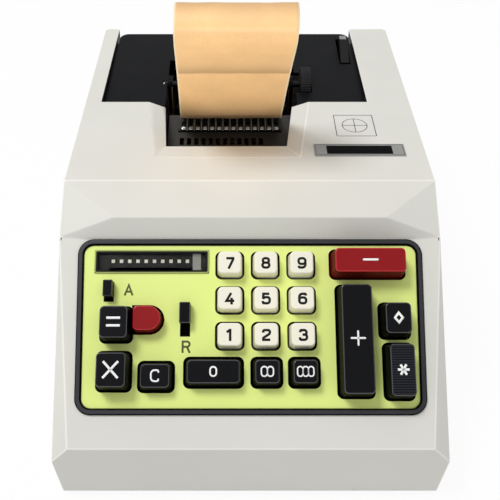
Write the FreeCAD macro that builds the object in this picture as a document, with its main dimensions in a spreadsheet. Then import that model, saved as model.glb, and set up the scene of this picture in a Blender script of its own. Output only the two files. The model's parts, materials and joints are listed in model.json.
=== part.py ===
"""Printing adding machine with a sloped ten-key keyboard, a paper roll and a print window.

Pieces are built in three frames, in all of which x runs to the right from the middle. In the machine frame y
runs rearward from the front face and z runs up from the lower edge of the housing. In the rear frame y runs
rearward from the rear face and z runs up from the deck, so that the print mechanism and its well keep together:
places there are mostly minus. In the keyboard frame y runs up the slope and z stands out of the key field; its
origin is the middle of the brow's foot, so a place down the slope is a minus y.
"""

import FreeCAD, Part
import math
import os
import re

os.makedirs("parts", exist_ok=True)
doc = FreeCAD.newDocument("adding_machine")

# Driving dimensions in millimetres, and in degrees where the name says so
SIZES = (
    ("body_width", 230.0),
    ("body_depth", 347.0),
    ("deck_height", 133.0),
    ("foot_height", 4.0),
    ("wall", 3.0),
    ("belt_height", 29.6),
    ("base_taper", 2.8),
    ("front_crease_height", 41.5),
    ("front_lean", 0.4),
    ("front_crease_width", 209.0),
    ("key_slope_deg", 35.85),
    ("brow_foot_y", 99.9),
    ("brow_foot_width", 198.0),
    ("brow_end_y", 101.2),
    ("brow_top_y", 104.9),
    ("brow_top_height", 126.6),
    ("brow_top_width", 163.0),
    ("ridge_y", 133.5),
    ("corner_radius", 4.0),
    # Well between the two rear pillars, in the rear frame: the left edge is measured in from the side of the
    # body, the right edge from the middle
    ("recess_left", 11.0),
    ("recess_right", 85.2),
    ("recess_front_y", -117.6),
    ("rear_wall_height", -33.0),
    ("recess_rib_depth", 36.0),
    # Funnel round the print window, in the rear frame
    ("funnel_front_y", -188.0),
    ("funnel_left_front", 61.0),
    ("funnel_right_front", 33.4),
    ("funnel_left_rear", 70.0),
    ("funnel_right_rear", 43.5),
    ("funnel_depth", 4.5),
    ("window_front_y", -168.1),
    ("window_left_front", 55.0),
    ("window_right_front", 25.7),
    ("window_left_rear", 58.6),
    ("window_right_rear", 31.9),
    # Black cover over the paper well, in the rear frame
    ("cover_thickness", 2.5),
    ("cover_drop", 5.0),
    ("cover_rear_drop", 1.0),
    ("cover_gap", 2.0),
    ("cover_rear_y", -7.0),
    ("cover_skirt", 36.0),
    ("cover_corner", 7.0),
    ("cover_ledge_inset", 12.0),
    ("throat_left", 59.2),
    ("throat_right", 36.0),
    ("throat_rear_y", -50.0),
    # Base: feet and screws are measured in from the sides and the ends of the body
    ("pan_thickness", 2.0),
    ("pan_rim", 7.0),
    ("pan_gap", 0.5),
    ("foot_radius", 10.0),
    ("foot_draft", 1.0),
    ("foot_x", 31.0),
    ("foot_inset", 32.0),
    ("boss_x", 13.5),
    ("boss_inset", 20.0),
    ("boss_radius", 4.5),
    ("boss_height", 22.0),
    ("screw_radius", 1.5),
    ("screw_head_radius", 3.0),
    ("screw_head_height", 1.8),
    ("screw_gap", 0.2),
    ("vent_length", 60.0),
    ("vent_width", 4.0),
    ("vent_pitch", 12.0),
    # Keyboard field
    ("bezel_rear_width", 206.6),
    ("bezel_front_width", 202.4),
    ("bezel_length", 103.8),
    ("bezel_corner", 9.5),
    ("bezel_rim", 3.4),
    ("bezel_rise", 1.6),
    ("bezel_edge", 0.96),
    ("bezel_overlap", 1.9),
    ("bezel_skirt", 3.6),
    ("ledge_width", 2.4),
    ("fit_gap", 0.3),
    ("plate_thickness", 1.2),
    ("guide_depth", 18.0),
    ("guide_thickness", 1.6),
    ("guide_front_l", 98.0),
    ("guide_half_width", 95.5),
    ("post_radius", 2.4),
    ("post_inset", 3.3),
    ("post_left_l", 65.2),
    ("post_right_l", 31.0),
    ("post_front_l", 93.0),
    ("post_zero_x", -4.0),
    ("post_thousands_x", 45.4),
    ("post_rear_x", 42.9),
    ("post_rear_l", 10.0),
    ("post_inner_x", -44.0),
    ("post_inner_l", 66.0),
    # Keys
    ("key_pitch", 21.2),
    ("grid_x", -12.1),
    ("grid_l", 16.0),
    ("key_sink", 5.0),
    ("key_corner", 2.6),
    ("key_edge", 0.9),
    ("key_gap", 0.8),
    ("stem_width", 4.0),
    ("stem_depth", 2.0),
    ("stem_reach", 24.0),
    ("stem_gap", 0.15),
    ("spring_radius", 3.6),
    ("spring_bore", 2.9),
    # Digit indicator
    ("indicator_x", -58.75),
    ("indicator_l", 13.75),
    ("indicator_width", 68.3),
    ("indicator_length", 14.1),
    ("indicator_lip", 0.4),
    ("indicator_wall", 1.0),
    ("tray_depth", 5.0),
    ("lens_thickness", 0.5),
    ("scale_depth", 1.7),
    ("scale_thickness", 0.8),
    ("marker_x", -31.9),
    ("marker_width", 4.9),
    ("marker_length", 10.1),
    ("marker_thickness", 0.6),
    ("marker_arm_width", 3.0),
    ("marker_arm_thickness", 1.2),
    ("rider_width", 6.0),
    ("marker_step", 4.95),
    ("marker_steps", 10.0),
    ("rail_radius", 1.5),
    ("rail_depth", 10.5),
    ("rail_gap", 0.06),
    ("rail_ear_width", 2.0),
    ("rail_ear_length", 10.0),
    # Sliders
    ("slider_a_x", -83.8),
    ("slider_a_l", 30.8),
    ("slider_a_width", 5.6),
    ("slider_a_length", 9.9),
    ("slider_a_travel", 2.4),
    ("slider_r_x", -38.3),
    ("slider_r_l", 45.3),
    ("slider_r_width", 6.4),
    ("slider_r_length", 12.4),
    ("slider_r_travel", 7.3),
    ("slider_height", 7.0),
    ("slider_neck", 4.2),
    ("slider_neck_inset", 1.0),
    ("slider_foot", 1.0),
    ("slider_edge", 0.7),
    ("slot_gap", 0.5),
    # Print mechanism, in the rear frame
    ("frame_thickness", 2.5),
    ("frame_left", 56.2),
    ("frame_right", 31.6),
    ("frame_front_y", -155.0),
    ("frame_rear_y", -13.0),
    ("frame_front_height", -25.0),
    ("frame_rear_height", -25.0),
    ("frame_flange", 9.0),
    ("rod_inset", 8.0),
    ("rod_height", 12.0),
    ("upper_rod_inset", 5.0),
    ("platen_y", -83.0),
    ("platen_z", -5.0),
    ("platen_radius", 14.0),
    ("platen_length", 74.0),
    ("platen_x", -12.5),
    ("shaft_radius", 2.2),
    ("shaft_gap", 0.05),
    ("shaft_left", 61.4),
    ("ear_radius", 5.5),
    ("knob_x", 39.5),
    ("knob_width", 7.5),
    ("knob_radius", 12.4),
    ("knob_ridges", 44.0),
    ("knob_ridge_depth", 0.5),
    ("plate_front_y", -150.0),
    ("plate_front_z", -20.4),
    ("plate_rear_y", -118.0),
    ("plate_rear_z", -10.8),
    ("print_plate_thickness", 1.5),
    ("lug_drop", 12.0),
    ("lug_start", 4.0),
    ("lug_length", 16.0),
    ("hole_pitch", 5.05),
    ("upper_hole_x", -45.3),
    ("lower_hole_x", -46.2),
    ("hole_width", 2.9),
    ("upper_hole_y", -129.7),
    ("upper_hole_length", 5.6),
    ("lower_hole_y", -144.5),
    ("lower_hole_length", 6.0),
    ("tear_bar_y", -133.5),
    ("tear_bar_width", 2.2),
    ("tear_bar_height", 1.2),
    ("wheel_y", -132.0),
    ("wheel_z", -41.0),
    ("wheel_radius", 13.0),
    ("wheel_thickness", 3.4),
    ("wheel_shaft_radius", 3.0),
    # Paper, in the rear frame
    ("paper_width", 70.0),
    ("paper_x", -14.0),
    ("paper_lean", 0.059),
    ("paper_thickness", 0.4),
    ("roll_y", -47.0),
    ("roll_z", -47.0),
    ("roll_radius", 30.0),
    ("spindle_radius", 6.0),
    ("spindle_gap", 0.1),
    # Paper release lever, in the rear frame
    ("lever_x", 76.6),
    ("lever_width", 6.6),
    ("lever_root", 4.8),
    ("lever_boss_radius", 5.0),
    ("lever_shoulder", 14.5),
    ("lever_tip_width", 5.0),
    ("lever_pivot_y", -49.0),
    ("lever_pivot_z", -17.0),
    ("lever_pin_radius", 2.0),
    ("lever_top_y", -25.0),
    ("lever_top_z", 6.0),
    ("lever_top_length", 6.0),
    ("lever_top_height", 7.0),
    ("lever_slot_front", 7.0),
    ("lever_slot_rear", 9.0),
    ("bracket_length", 16.0),
    ("bracket_rise", 5.0),
    # Drive, in the rear frame
    ("gear_module", 1.0),
    ("drive_teeth", 48.0),
    ("pinion_teeth", 12.0),
    ("gear_width", 4.0),
    ("gear_gap", 1.0),
    ("drive_y", -111.0),
    ("drive_z", -79.0),
    ("drive_shaft_radius", 4.0),
    ("motor_radius", 22.0),
    ("motor_length", 36.0),
    ("motor_gap", 2.0),
    ("mount_wall", 4.0),
    ("mount_sink", 6.0),
    ("motor_shaft_radius", 2.0),
    # Ribbon, in the rear frame
    ("spool_y", -141.0),
    ("spool_left_x", 82.0),
    ("spool_right_x", 56.0),
    ("spool_radius", 15.0),
    ("spool_height", 12.0),
    ("spool_z", -25.0),
    ("spool_hub_radius", 6.0),
    ("spool_pin_radius", 2.5),
    ("spool_flange", 1.0),
    ("spool_arm_width", 16.0),
    ("spool_arm_reach", 8.0),
    # Name plate, emblem plate and mains inlet; the inlet is measured up from the lower edge of the housing
    ("name_plate_x", 72.15),
    ("name_plate_y", -180.1),
    ("name_plate_width", 59.1),
    ("name_plate_length", 13.8),
    ("name_insert_width", 42.7),
    ("name_insert_length", 9.6),
    ("trim_sink", 0.5),
    ("trim_thickness", 1.1),
    ("emblem_x", 72.5),
    ("emblem_y", -149.5),
    ("emblem_width", 27.4),
    ("inlet_x", 66.0),
    ("inlet_z", 26.0),
    ("inlet_width", 30.0),
    ("inlet_height", 20.0),
    ("inlet_depth", 22.0),
    ("inlet_rim", 2.0),
    ("inlet_socket_depth", 15.0),
    ("inlet_pin_radius", 1.6),
    ("inlet_pin_pitch", 9.0),
    ("inlet_pin_inset", 4.0),
)

# Keys apart from the digit grid: node, x, place down the slope, top width, top length, height, flare, stems,
# distance between the stems along x and along the slope
KEYS = (
    ("key_equals", -78.6, 51.8, 16.0, 18.3, 14.0, 0.7, 1, 0.0, 0.0),
    ("key_times", -79.2, 79.0, 16.8, 19.5, 14.0, 1.0, 1, 0.0, 0.0),
    ("key_clear", -54.7, 82.0, 16.6, 13.3, 9.0, 1.3, 1, 0.0, 0.0),
    ("key_0", -21.4, 79.6, 30.1, 13.2, 9.0, 1.3, 2, 18.0, 0.0),
    ("key_00", 9.4, 79.6, 13.8, 13.2, 9.0, 1.3, 1, 0.0, 0.0),
    ("key_000", 31.2, 79.6, 13.8, 13.2, 9.0, 1.3, 1, 0.0, 0.0),
    ("key_minus", 69.9, 15.5, 41.2, 14.2, 14.0, 1.0, 2, 26.0, 0.0),
    ("key_plus", 61.0, 61.2, 17.6, 62.5, 14.0, 1.0, 2, 0.0, 42.0),
    ("key_subtotal", 84.6, 49.5, 14.7, 17.7, 14.0, 1.0, 1, 0.0, 0.0),
    ("key_total", 85.8, 79.0, 14.0, 29.2, 14.0, 1.0, 1, 0.0, 0.0),
    ("key_red", -60.2, 48.8, 16.0, 14.3, 9.0, 0.4, 1, 0.0, 0.0),
)
DIGIT_ROWS = ("789", "456", "123")
DIGIT_KEY = (13.4, 13.1, 9.0, 0.7, 1, 0.0, 0.0)
KEY_FIELDS = ("x", "l", "width", "length", "height", "flare", "stems", "stem_dx", "stem_dl")

# Posts between the green plate and the guide plate: x and place down the slope, written in the sizes
POSTS = (
    ("post_inset - guide_half_width", "post_left_l"),
    ("post_inset - guide_half_width", "post_front_l"),
    ("guide_half_width - post_inset", "post_right_l"),
    ("post_zero_x", "post_front_l"),
    ("post_thousands_x", "post_front_l"),
    ("post_rear_x", "post_rear_l"),
    ("post_inner_x", "post_inner_l"),
)

# Line of the paper from the supply roll, past the platen and over the curl, in the rear frame: y and z
PAPER_LINE = (
    (-74.9, -59.3),
    (-81.6, -44.0),
    (-88.2, -29.0),
    (-94.2, -17.4),
    (-101.0, -11.6),
    (-111.0, -8.8),
    (-122.0, -6.4),
    (-132.2, -2.0),
    (-139.0, 5.4),
    (-147.0, 16.0),
    (-156.8, 29.2),
    (-166.4, 42.0),
    (-175.2, 53.6),
    (-183.0, 63.6),
    (-191.0, 74.2),
    (-197.8, 84.6),
    (-199.0, 94.0),
    (-192.6, 100.6),
    (-183.5, 102.4),
    (-174.8, 98.8),
    (-168.6, 92.0),
    (-167.4, 83.0),
    (-171.4, 75.6),
)

TALL = 400.0
DEEP = 60.0
TOUCH = 0.02


def write_sheet():
    """Puts every driving dimension in the spreadsheet, each in a cell with an alias."""
    cells = doc.addObject("Spreadsheet::Sheet", "Sizes")
    rows = list(SIZES)
    for key in all_keys():
        rows += [(f"{key[0]}_{field}", value) for field, value in zip(KEY_FIELDS, key[1:])]
    for number, (alias, value) in enumerate(rows, 1):
        cells.set(f"A{number}", alias)
        cells.set(f"B{number}", str(value))
        cells.setAlias(f"B{number}", alias)
    doc.recompute()
    return cells, {alias for alias, value in rows}


def all_keys():
    """The table of every key: the digit grid first, then the others."""
    named = dict(SIZES)
    rows = []
    for row, digits in enumerate(DIGIT_ROWS):
        for column, digit in enumerate(digits):
            x = named["grid_x"] + column * named["key_pitch"]
            place = named["grid_l"] + row * named["key_pitch"]
            rows.append((f"key_{digit}", x, place) + DIGIT_KEY)
    return rows + list(KEYS)


sheet, ALIASES = write_sheet()


def size(alias):
    return float(sheet.get(alias))


def linked(text):
    """Turns the aliases in an expression into references to the sheet."""
    return re.sub(r"[a-z][a-z_0-9]*", lambda m: "Sizes." * (m.group() in ALIASES) + m.group(), str(text))


def vec(x, y, z):
    return FreeCAD.Vector(x, y, z)


X_AXIS = vec(1, 0, 0)
Y_AXIS = vec(0, 1, 0)
Z_AXIS = vec(0, 0, 1)
HALF_WIDTH = size("body_width") / 2
DEPTH = size("body_depth")
DECK = size("deck_height")
WALL = size("wall")
SLOPE = math.radians(size("key_slope_deg"))

# Each frame's y and z in the part's own frame
FRAMES = {
    "machine": ("-body_depth / 2", "foot_height"),
    "rear": ("body_depth / 2", "foot_height + deck_height"),
    "keyboard": (
        "brow_foot_y - body_depth / 2",
        "foot_height + front_crease_height + (brow_foot_y - front_lean) * tan(key_slope_deg)",
    ),
}

# Places in the rear frame that several pieces share
PAN_TOP = "(pan_thickness - deck_height)"
INNER_WIDTH = "(frame_left + frame_right)"
GEAR_X = "(-frame_left - frame_thickness - gear_gap - gear_width)"
MOTOR_X = "(motor_gap - frame_left)"
MOTOR_Y = "(drive_y - gear_module * (drive_teeth + pinion_teeth) / 2)"
NODES = {}


def finish(node, obj, frame="machine"):
    """Names a finished sub-part and binds its place, which is that of its frame."""
    if frame == "keyboard":
        obj.Placement = FreeCAD.Placement(vec(0, 0, 0), FreeCAD.Rotation(X_AXIS, size("key_slope_deg")))
        obj.setExpression("Placement.Rotation.Angle", linked("key_slope_deg"))
    y, z = FRAMES[frame]
    obj.setExpression("Placement.Base.y", linked(y))
    obj.setExpression("Placement.Base.z", linked(z))
    obj.Label = node
    NODES[node] = obj
    return obj


def shaped(name, shape):
    """An object whose shape is worked out with Part's own functions."""
    obj = doc.addObject("Part::Feature", name)
    obj.Shape = shape
    return obj


def starts_at(obj, x, y, z):
    """Binds where an object starts along each axis."""
    for axis, start in zip("xyz", (x, y, z)):
        obj.setExpression(f"Placement.Base.{axis}", linked(start))
    return obj


def box(name, x, y, z):
    """A block from (start, length) expressions along each axis."""
    obj = doc.addObject("Part::Box", name)
    for prop, (start, length) in zip(("Length", "Width", "Height"), (x, y, z)):
        obj.setExpression(prop, linked(length))
    return starts_at(obj, x[0], y[0], z[0])


def rod(name, radius, length, x, y, z, axis=X_AXIS):
    """A round bar that starts at x, y, z and runs along an axis."""
    obj = doc.addObject("Part::Cylinder", name)
    obj.setExpression("Radius", linked(radius))
    obj.setExpression("Height", linked(length))
    obj.Placement = FreeCAD.Placement(vec(0, 0, 0), FreeCAD.Rotation(Z_AXIS, axis))
    return starts_at(obj, x, y, z)


def cut(name, base, tool):
    obj = doc.addObject("Part::Cut", name)
    obj.Base = base
    obj.Tool = tool
    return obj


def joined(name, pieces):
    obj = doc.addObject("Part::MultiFuse", name)
    obj.Shapes = pieces
    obj.Refine = True
    return obj


def group(name, pieces):
    obj = doc.addObject("Part::Compound", name)
    obj.Links = pieces
    return obj


def softened(name, base, radius_of):
    """Rounds the edges of a primitive, each to a radius that follows from the heights of its ends, or 0."""
    doc.recompute()
    edges = []
    for number, edge in enumerate(base.Shape.Edges, 1):
        radius = radius_of(*sorted(v.Point.z for v in edge.Vertexes))
        if radius:
            edges.append((number, radius, radius))
    obj = doc.addObject("Part::Fillet", name)
    obj.Base = base
    obj.Edges = edges
    return obj


def block(x0, x1, y0, y1, z0, z1):
    return Part.makeBox(x1 - x0, y1 - y0, z1 - z0, vec(x0, y0, z0))


def prism(points, height):
    """A prism on a closed outline of points, along a vector."""
    outline = Part.makePolygon([vec(*p) for p in points] + [vec(*points[0])])
    return Part.Face(outline).extrude(height)


def beyond(point, normal):
    """A large block on the far side of a plane."""
    normal = vec(*normal)
    big = Part.makeBox(2 * TALL, 2 * TALL, TALL, vec(-TALL, -TALL, 0))
    big.Placement = FreeCAD.Placement(point, FreeCAD.Rotation(Z_AXIS, normal))
    return big


def trimmed(shape, corners, inside, inset):
    """Cuts a shape back to the plane through three corners, moved inward by the inset."""
    a, b, c = (vec(*corner) for corner in corners)
    normal = (b - a).cross(c - a).normalize()
    if normal.dot(vec(*inside) - a) > 0:
        normal = normal * -1
    return shape.cut(beyond(a - normal * inset, normal))


def slope_height(y):
    """Height of the key field's plane at a distance from the front."""
    return size("front_crease_height") + (y - size("front_lean")) * math.tan(SLOPE)


def body_form(inset):
    """The faceted body at inset 0, and the hollow inside it at the wall's thickness."""
    middle = (0, DEPTH / 2, DECK / 2)
    low = -WALL if inset else 0.0
    half = HALF_WIDTH - inset
    foot_half = HALF_WIDTH - size("base_taper")
    belt = size("belt_height")
    crease = (size("front_crease_width") / 2, size("front_lean"), size("front_crease_height"))
    corner = (HALF_WIDTH, 0, belt)
    brow_end = (HALF_WIDTH, size("brow_end_y"), slope_height(size("brow_end_y")))
    brow_foot = (size("brow_foot_width") / 2, size("brow_foot_y"), slope_height(size("brow_foot_y")))
    brow_top = (size("brow_top_width") / 2, size("brow_top_y"), size("brow_top_height"))
    ridge = (HALF_WIDTH, size("ridge_y"), DECK)

    def left(point):
        return (-point[0], point[1], point[2])

    slab = block(-half, half, -1, DEPTH - inset, low, DECK - inset)
    for side in (1, -1):
        taper = [(side * HALF_WIDTH, 0, belt), (side * HALF_WIDTH, DEPTH, belt), (side * foot_half, 0, 0)]
        slab = trimmed(slab, taper, middle, inset)
    slab = trimmed(slab, [ridge, left(ridge), brow_top], middle, inset)
    for near in (lambda p: p, left):
        slab = trimmed(slab, [near(ridge), near(brow_top), near(brow_end)], middle, inset)
    front = trimmed(slab, [(0, 0, 0), (1, 0, 0), crease], middle, inset)
    front = trimmed(front, [crease, left(crease), (0,) + brow_foot[1:]], middle, inset)
    front = trimmed(front, [crease, corner, brow_end], middle, inset)
    front = trimmed(front, [left(crease), left(corner), left(brow_end)], middle, inset)
    rear = trimmed(slab, [brow_top, left(brow_top), (0,) + brow_foot[1:]], middle, inset)
    for near in (lambda p: p, left):
        rear = trimmed(rear, [near(brow_top), near(brow_foot), near(brow_end)], middle, inset)
    return front.fuse(rear).removeSplitter()


def trapezium(y0, left0, right0, y1, left1, right1, z):
    return Part.makePolygon(
        [vec(-left0, y0, z), vec(right0, y0, z), vec(right1, y1, z), vec(-left1, y1, z), vec(-left0, y0, z)]
    )


def field_outline(inset, z):
    """Rounded outline of the keyboard field, moved in from the bezel's outer edge."""
    rear = size("bezel_rear_width") / 2 - inset
    front = size("bezel_front_width") / 2 - inset
    top = -inset
    bottom = inset - size("bezel_length")
    corners = [vec(-rear, top, z), vec(rear, top, z), vec(front, bottom, z), vec(-front, bottom, z)]
    return rounded(corners, max(size("bezel_corner") - inset, 1.0))


def rounded(corners, radius):
    """A closed outline through corners, each rounded to a radius."""
    edges = []
    starts = []
    for i, corner in enumerate(corners):
        before = (corners[i - 1] - corner).normalize()
        after = (corners[(i + 1) % len(corners)] - corner).normalize()
        half = before.getAngle(after) / 2
        reach = radius / math.tan(half)
        centre = corner + (before + after).normalize() * (radius / math.sin(half))
        middle = centre + (corner - centre).normalize() * radius
        starts.append((corner + before * reach, middle, corner + after * reach))
    for i, (begin, middle, end) in enumerate(starts):
        edges.append(Part.Arc(begin, middle, end).toShape())
        edges.append(Part.LineSegment(end, starts[(i + 1) % len(starts)][0]).toShape())
    return Part.Wire(edges)


def field_block(inset, low, high):
    """A slab of the keyboard field between two heights above its plane."""
    return Part.Face(field_outline(inset, low)).extrude(vec(0, 0, high - low))


def housing():
    """The moulded casing: faceted shell, rear pillars, print funnel, keyboard opening, inlet hole and bosses."""
    form = body_form(0)
    form = form.makeFillet(size("corner_radius"), [e for e in form.Edges if is_corner(e)])
    hollow = body_form(WALL)
    to_rear = vec(0, DEPTH, DECK)
    shell = form.cut(hollow).multiFuse([rib.translated(to_rear) for rib in well_ribs()])
    field = field_block(size("bezel_overlap"), -3 * WALL, WALL)
    field.Placement = FreeCAD.Placement(
        vec(0, size("brow_foot_y"), slope_height(size("brow_foot_y"))),
        FreeCAD.Rotation(X_AXIS, size("key_slope_deg")),
    )
    for tool in [opening.translated(to_rear) for opening in rear_openings()] + [field]:
        shell = shell.cut(tool)
    ledges = [ledge.translated(to_rear) for ledge in cover_ledges()]
    return shell.multiFuse(ledges + bosses()).removeSplitter()


def is_corner(edge):
    """Whether an edge is one of the upright corners at the rear, above the belt line."""
    points = [v.Point for v in edge.Vertexes]
    upright = len(points) == 2 and abs(points[0].z - points[1].z) > DECK / 2
    return upright and min(p.y for p in points) > DEPTH - 1


def well_left():
    """The left edge of the well: a pillar stands between it and the side of the body."""
    return size("recess_left") - HALF_WIDTH


def well_ribs():
    """Walls under the deck round the well and the print window, in the rear frame."""
    front, left, right = size("recess_front_y"), well_left(), size("recess_right")
    low, top, end = -size("recess_rib_depth"), -WALL / 2, -WALL / 2
    floor = -size("funnel_depth") - WALL
    funnel_left, funnel_right = -size("funnel_left_rear"), size("funnel_right_rear")
    return [
        block(left - WALL, left, front - WALL, end, low, top),
        block(right, right + WALL, front - WALL, end, low, top),
        block(left - WALL, right + WALL, front - WALL, front, floor, top),
        block(funnel_left - WALL, funnel_right + WALL, size("funnel_front_y") + WALL, front, floor, top),
    ]


def rear_openings():
    """What is cut from the casing behind the brow, in the rear frame."""
    well_front, window_front, floor = size("recess_front_y"), size("window_front_y"), -size("funnel_depth")
    window_front_sides = size("window_left_front"), size("window_right_front")
    window_rear_sides = size("window_left_rear"), size("window_right_rear")
    rim = trapezium(
        size("funnel_front_y"), size("funnel_left_front"), size("funnel_right_front"),
        well_front, size("funnel_left_rear"), size("funnel_right_rear"), 0,
    )
    edge = trapezium(window_front, *window_front_sides, well_front, *window_rear_sides, floor)
    through = trapezium(window_front, *window_front_sides, well_front + 1, *window_rear_sides, floor - 2 * WALL)
    half_x, half_z = size("inlet_width") / 2, size("inlet_height") / 2
    inlet_x, inlet_z = size("inlet_x"), size("inlet_z") - DECK
    return [
        Part.makeLoft([rim, edge], True, True),
        Part.Face(through).extrude(vec(0, 0, size("funnel_depth") + 3 * WALL)),
        block(well_left(), size("recess_right"), well_front, 1, size("rear_wall_height"), 1),
        block(inlet_x - half_x, inlet_x + half_x, -2 * WALL, 1, inlet_z - half_z, inlet_z + half_z),
        sunk_pocket("name_plate_x", "name_plate_y", "name_plate_width", "name_plate_length"),
        sunk_pocket("emblem_x", "emblem_y", "emblem_width", "emblem_width"),
    ]


def sunk_pocket(x, y, width, length):
    """The shallow pocket in the deck that a plate lies in, from the names of its sizes."""
    half_x, half_y = size(width) / 2, size(length) / 2
    return block(size(x) - half_x, size(x) + half_x, size(y) - half_y, size(y) + half_y, -size("trim_sink"), 1)


def cover_ledges():
    """Ledges on the walls of the well that carry the cover, in the rear frame."""
    left, right = well_left(), size("recess_right")
    reach, thick = size("cover_gap") + WALL, size("cover_thickness")
    near = size("recess_front_y") + size("cover_ledge_inset")
    far = size("cover_rear_y") - size("cover_ledge_inset")
    low = cover_height(near) - thick - WALL
    return [
        below_cover(thick, left - TOUCH, left + reach, near, far, low),
        below_cover(thick, right - reach, right + TOUCH, near, far, low),
    ]


def bosses():
    """Screw bosses inside the housing, each with a rib to the side wall."""
    shapes = []
    low, high = size("pan_thickness"), size("boss_height")
    inset = size("boss_inset")
    for side in (-1, 1):
        for y in (inset, DEPTH - inset):
            x = side * (HALF_WIDTH - size("boss_x"))
            post = Part.makeCylinder(size("boss_radius"), high - low, vec(x, y, low))
            edge = side * (HALF_WIDTH - WALL / 2)
            rib = block(min(x, edge), max(x, edge), y - WALL / 2, y + WALL / 2, low + size("pan_rim"), high)
            rib = rib.common(body_form(WALL / 2))
            bore = Part.makeCylinder(size("screw_radius"), high - low - WALL, vec(x, y, low))
            shapes.append(post.fuse(rib).cut(bore))
    return shapes


def corner_places(name):
    """The four places of the feet or the screws, written in the sizes."""
    x = f"(body_width / 2 - {name}_x)"
    return [(side + x, y) for side in ("", "-") for y in (f"{name}_inset", f"(body_depth - {name}_inset)")]


def base_pan():
    """Sheet tray that closes the housing from below: floor, rim, screw holes and vents."""
    half = "(body_width / 2 - base_taper - wall - pan_gap)"
    front = "(front_lean + wall + pan_gap)"
    length = f"(body_depth - wall - pan_gap - {front})"
    slab = box("pan_slab", (f"-{half}", f"2 * {half}"), (front, length), ("0", "pan_rim"))
    hollow = box(
        "pan_hollow",
        (f"pan_thickness - {half}", f"2 * ({half} - pan_thickness)"),
        (f"{front} + pan_thickness", f"{length} - 2 * pan_thickness"),
        ("pan_thickness", "pan_rim"),
    )
    through = ("-pan_thickness", "3 * pan_thickness")
    holes = []
    for number, (x, y) in enumerate(corner_places("boss")):
        radius = "screw_radius + screw_gap"
        holes.append(rod(f"pan_hole_{number}", radius, through[1], x, y, through[0], Z_AXIS))
    for number in range(7):
        y = f"brow_foot_y + {number - 3} * vent_pitch"
        holes.append(box(f"pan_vent_{number}", ("-vent_length / 2", "vent_length"), (y, "vent_width"), through))
    return cut("pan", cut("pan_tray", slab, hollow), group("pan_holes", holes))


def rubber_feet():
    """Four tapered feet, a little narrower at the bottom."""
    feet = []
    for number, (x, y) in enumerate(corner_places("foot")):
        foot = doc.addObject("Part::Cone", f"foot_{number}")
        foot.setExpression("Radius1", linked("foot_radius - foot_draft"))
        foot.setExpression("Radius2", linked("foot_radius"))
        foot.setExpression("Height", linked("foot_height"))
        feet.append(starts_at(foot, x, y, "-foot_height"))
    return group("feet", feet)


def base_screws():
    screws = []
    for number, (x, y) in enumerate(corner_places("boss")):
        high = "screw_head_height"
        head = rod(f"screw_head_{number}", "screw_head_radius", high, x, y, f"-{high}", Z_AXIS)
        shank = rod(f"screw_shank_{number}", "screw_radius", "boss_height - 2 * wall", x, y, "0", Z_AXIS)
        screws.append(joined(f"screw_{number}", [head, shank]))
    return group("screws", screws)


def cover_height(y):
    """Height of the cover's top face, which rises a little to the rear."""
    front, rear = size("recess_front_y"), size("cover_rear_y")
    rise = size("cover_drop") - size("cover_rear_drop")
    return rise * (y - front) / (rear - front) - size("cover_drop")


def below_cover(depth, x0, x1, y0, y1, low):
    """A block from a low height up to the cover's top face, or to a depth under it."""
    ends = [(y0, low), (y1, low), (y1, cover_height(y1) - depth), (y0, cover_height(y0) - depth)]
    return prism([(x0, y, z) for y, z in ends], vec(x1 - x0, 0, 0))


def rounded_slab(x0, x1, y0, y1, low, radius):
    outline = rounded([vec(x0, y0, low), vec(x1, y0, low), vec(x1, y1, low), vec(x0, y1, low)], radius)
    return Part.Face(outline).extrude(vec(0, 0, DEEP))


def rear_cover():
    """Lift-off cover over the paper well, with the throat for the paper, the knob's slot and the lever's slot."""
    gap, thick, corner = size("cover_gap"), size("cover_thickness"), size("cover_corner")
    left, right = well_left() + gap, size("recess_right") - gap
    front, rear = size("recess_front_y") + size("fit_gap") * 2, size("cover_rear_y")
    low = cover_height(rear) - size("cover_skirt")
    cap = rounded_slab(left, right, front - DEEP, rear, low, corner)
    cap = cap.common(below_cover(0, left, right, front, rear, low))
    under = rounded_slab(left + thick, right - thick, front - DEEP, rear - thick, low, corner - thick)
    cap = cap.cut(under.common(below_cover(thick, left - 1, right + 1, front - 1, rear, low - 1)))
    cap = cap.cut(below_cover(thick, left - 1, right + 1, front - 1, rear - corner, low - 1))
    axis, knob, shaft = size("platen_y"), size("knob_radius") + gap, size("shaft_radius") + gap / 4
    lever = size("lever_width") / 2 + gap / 2
    lever_front = size("lever_pivot_y") - size("lever_slot_front")
    lever_rear = size("lever_top_y") + size("lever_slot_rear")
    slots = [
        (-size("throat_left"), size("throat_right"), front - 1, size("throat_rear_y")),
        (size("throat_right") - 1, size("knob_x") + size("knob_width") + gap / 2, axis - knob, axis + knob),
        (-size("shaft_left") - gap / 2, 1 - size("throat_left"), axis - shaft, axis + shaft),
        (size("lever_x") - lever, size("lever_x") + lever, lever_front, lever_rear),
    ]
    tools = [block(x0, x1, y0, y1, low + DEEP / 4, low + 2 * DEEP) for x0, x1, y0, y1 in slots]
    return cap.cut(Part.makeCompound(tools))


def key_names():
    return [row[0] for row in all_keys()]


def key_size(key, field):
    return size(f"{key}_{field}")


def stem_places(key):
    """Centres of a key's stems in the keyboard frame, written in the sizes."""
    if key_size(key, "stems") < 2:
        return [(f"{key}_x", f"-{key}_l")]
    near = (f"({key}_x - {key}_stem_dx / 2)", f"(-{key}_l - {key}_stem_dl / 2)")
    return [near, (f"({key}_x + {key}_stem_dx / 2)", f"(-{key}_l + {key}_stem_dl / 2)")]


def all_stem_places():
    return [place for key in key_names() for place in stem_places(key)]


def key_spread(key, z):
    """How far the key's flanks stand out from its top outline at a height."""
    return key_size(key, "flare") * (key_size(key, "height") - z) / key_size(key, "height")


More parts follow.
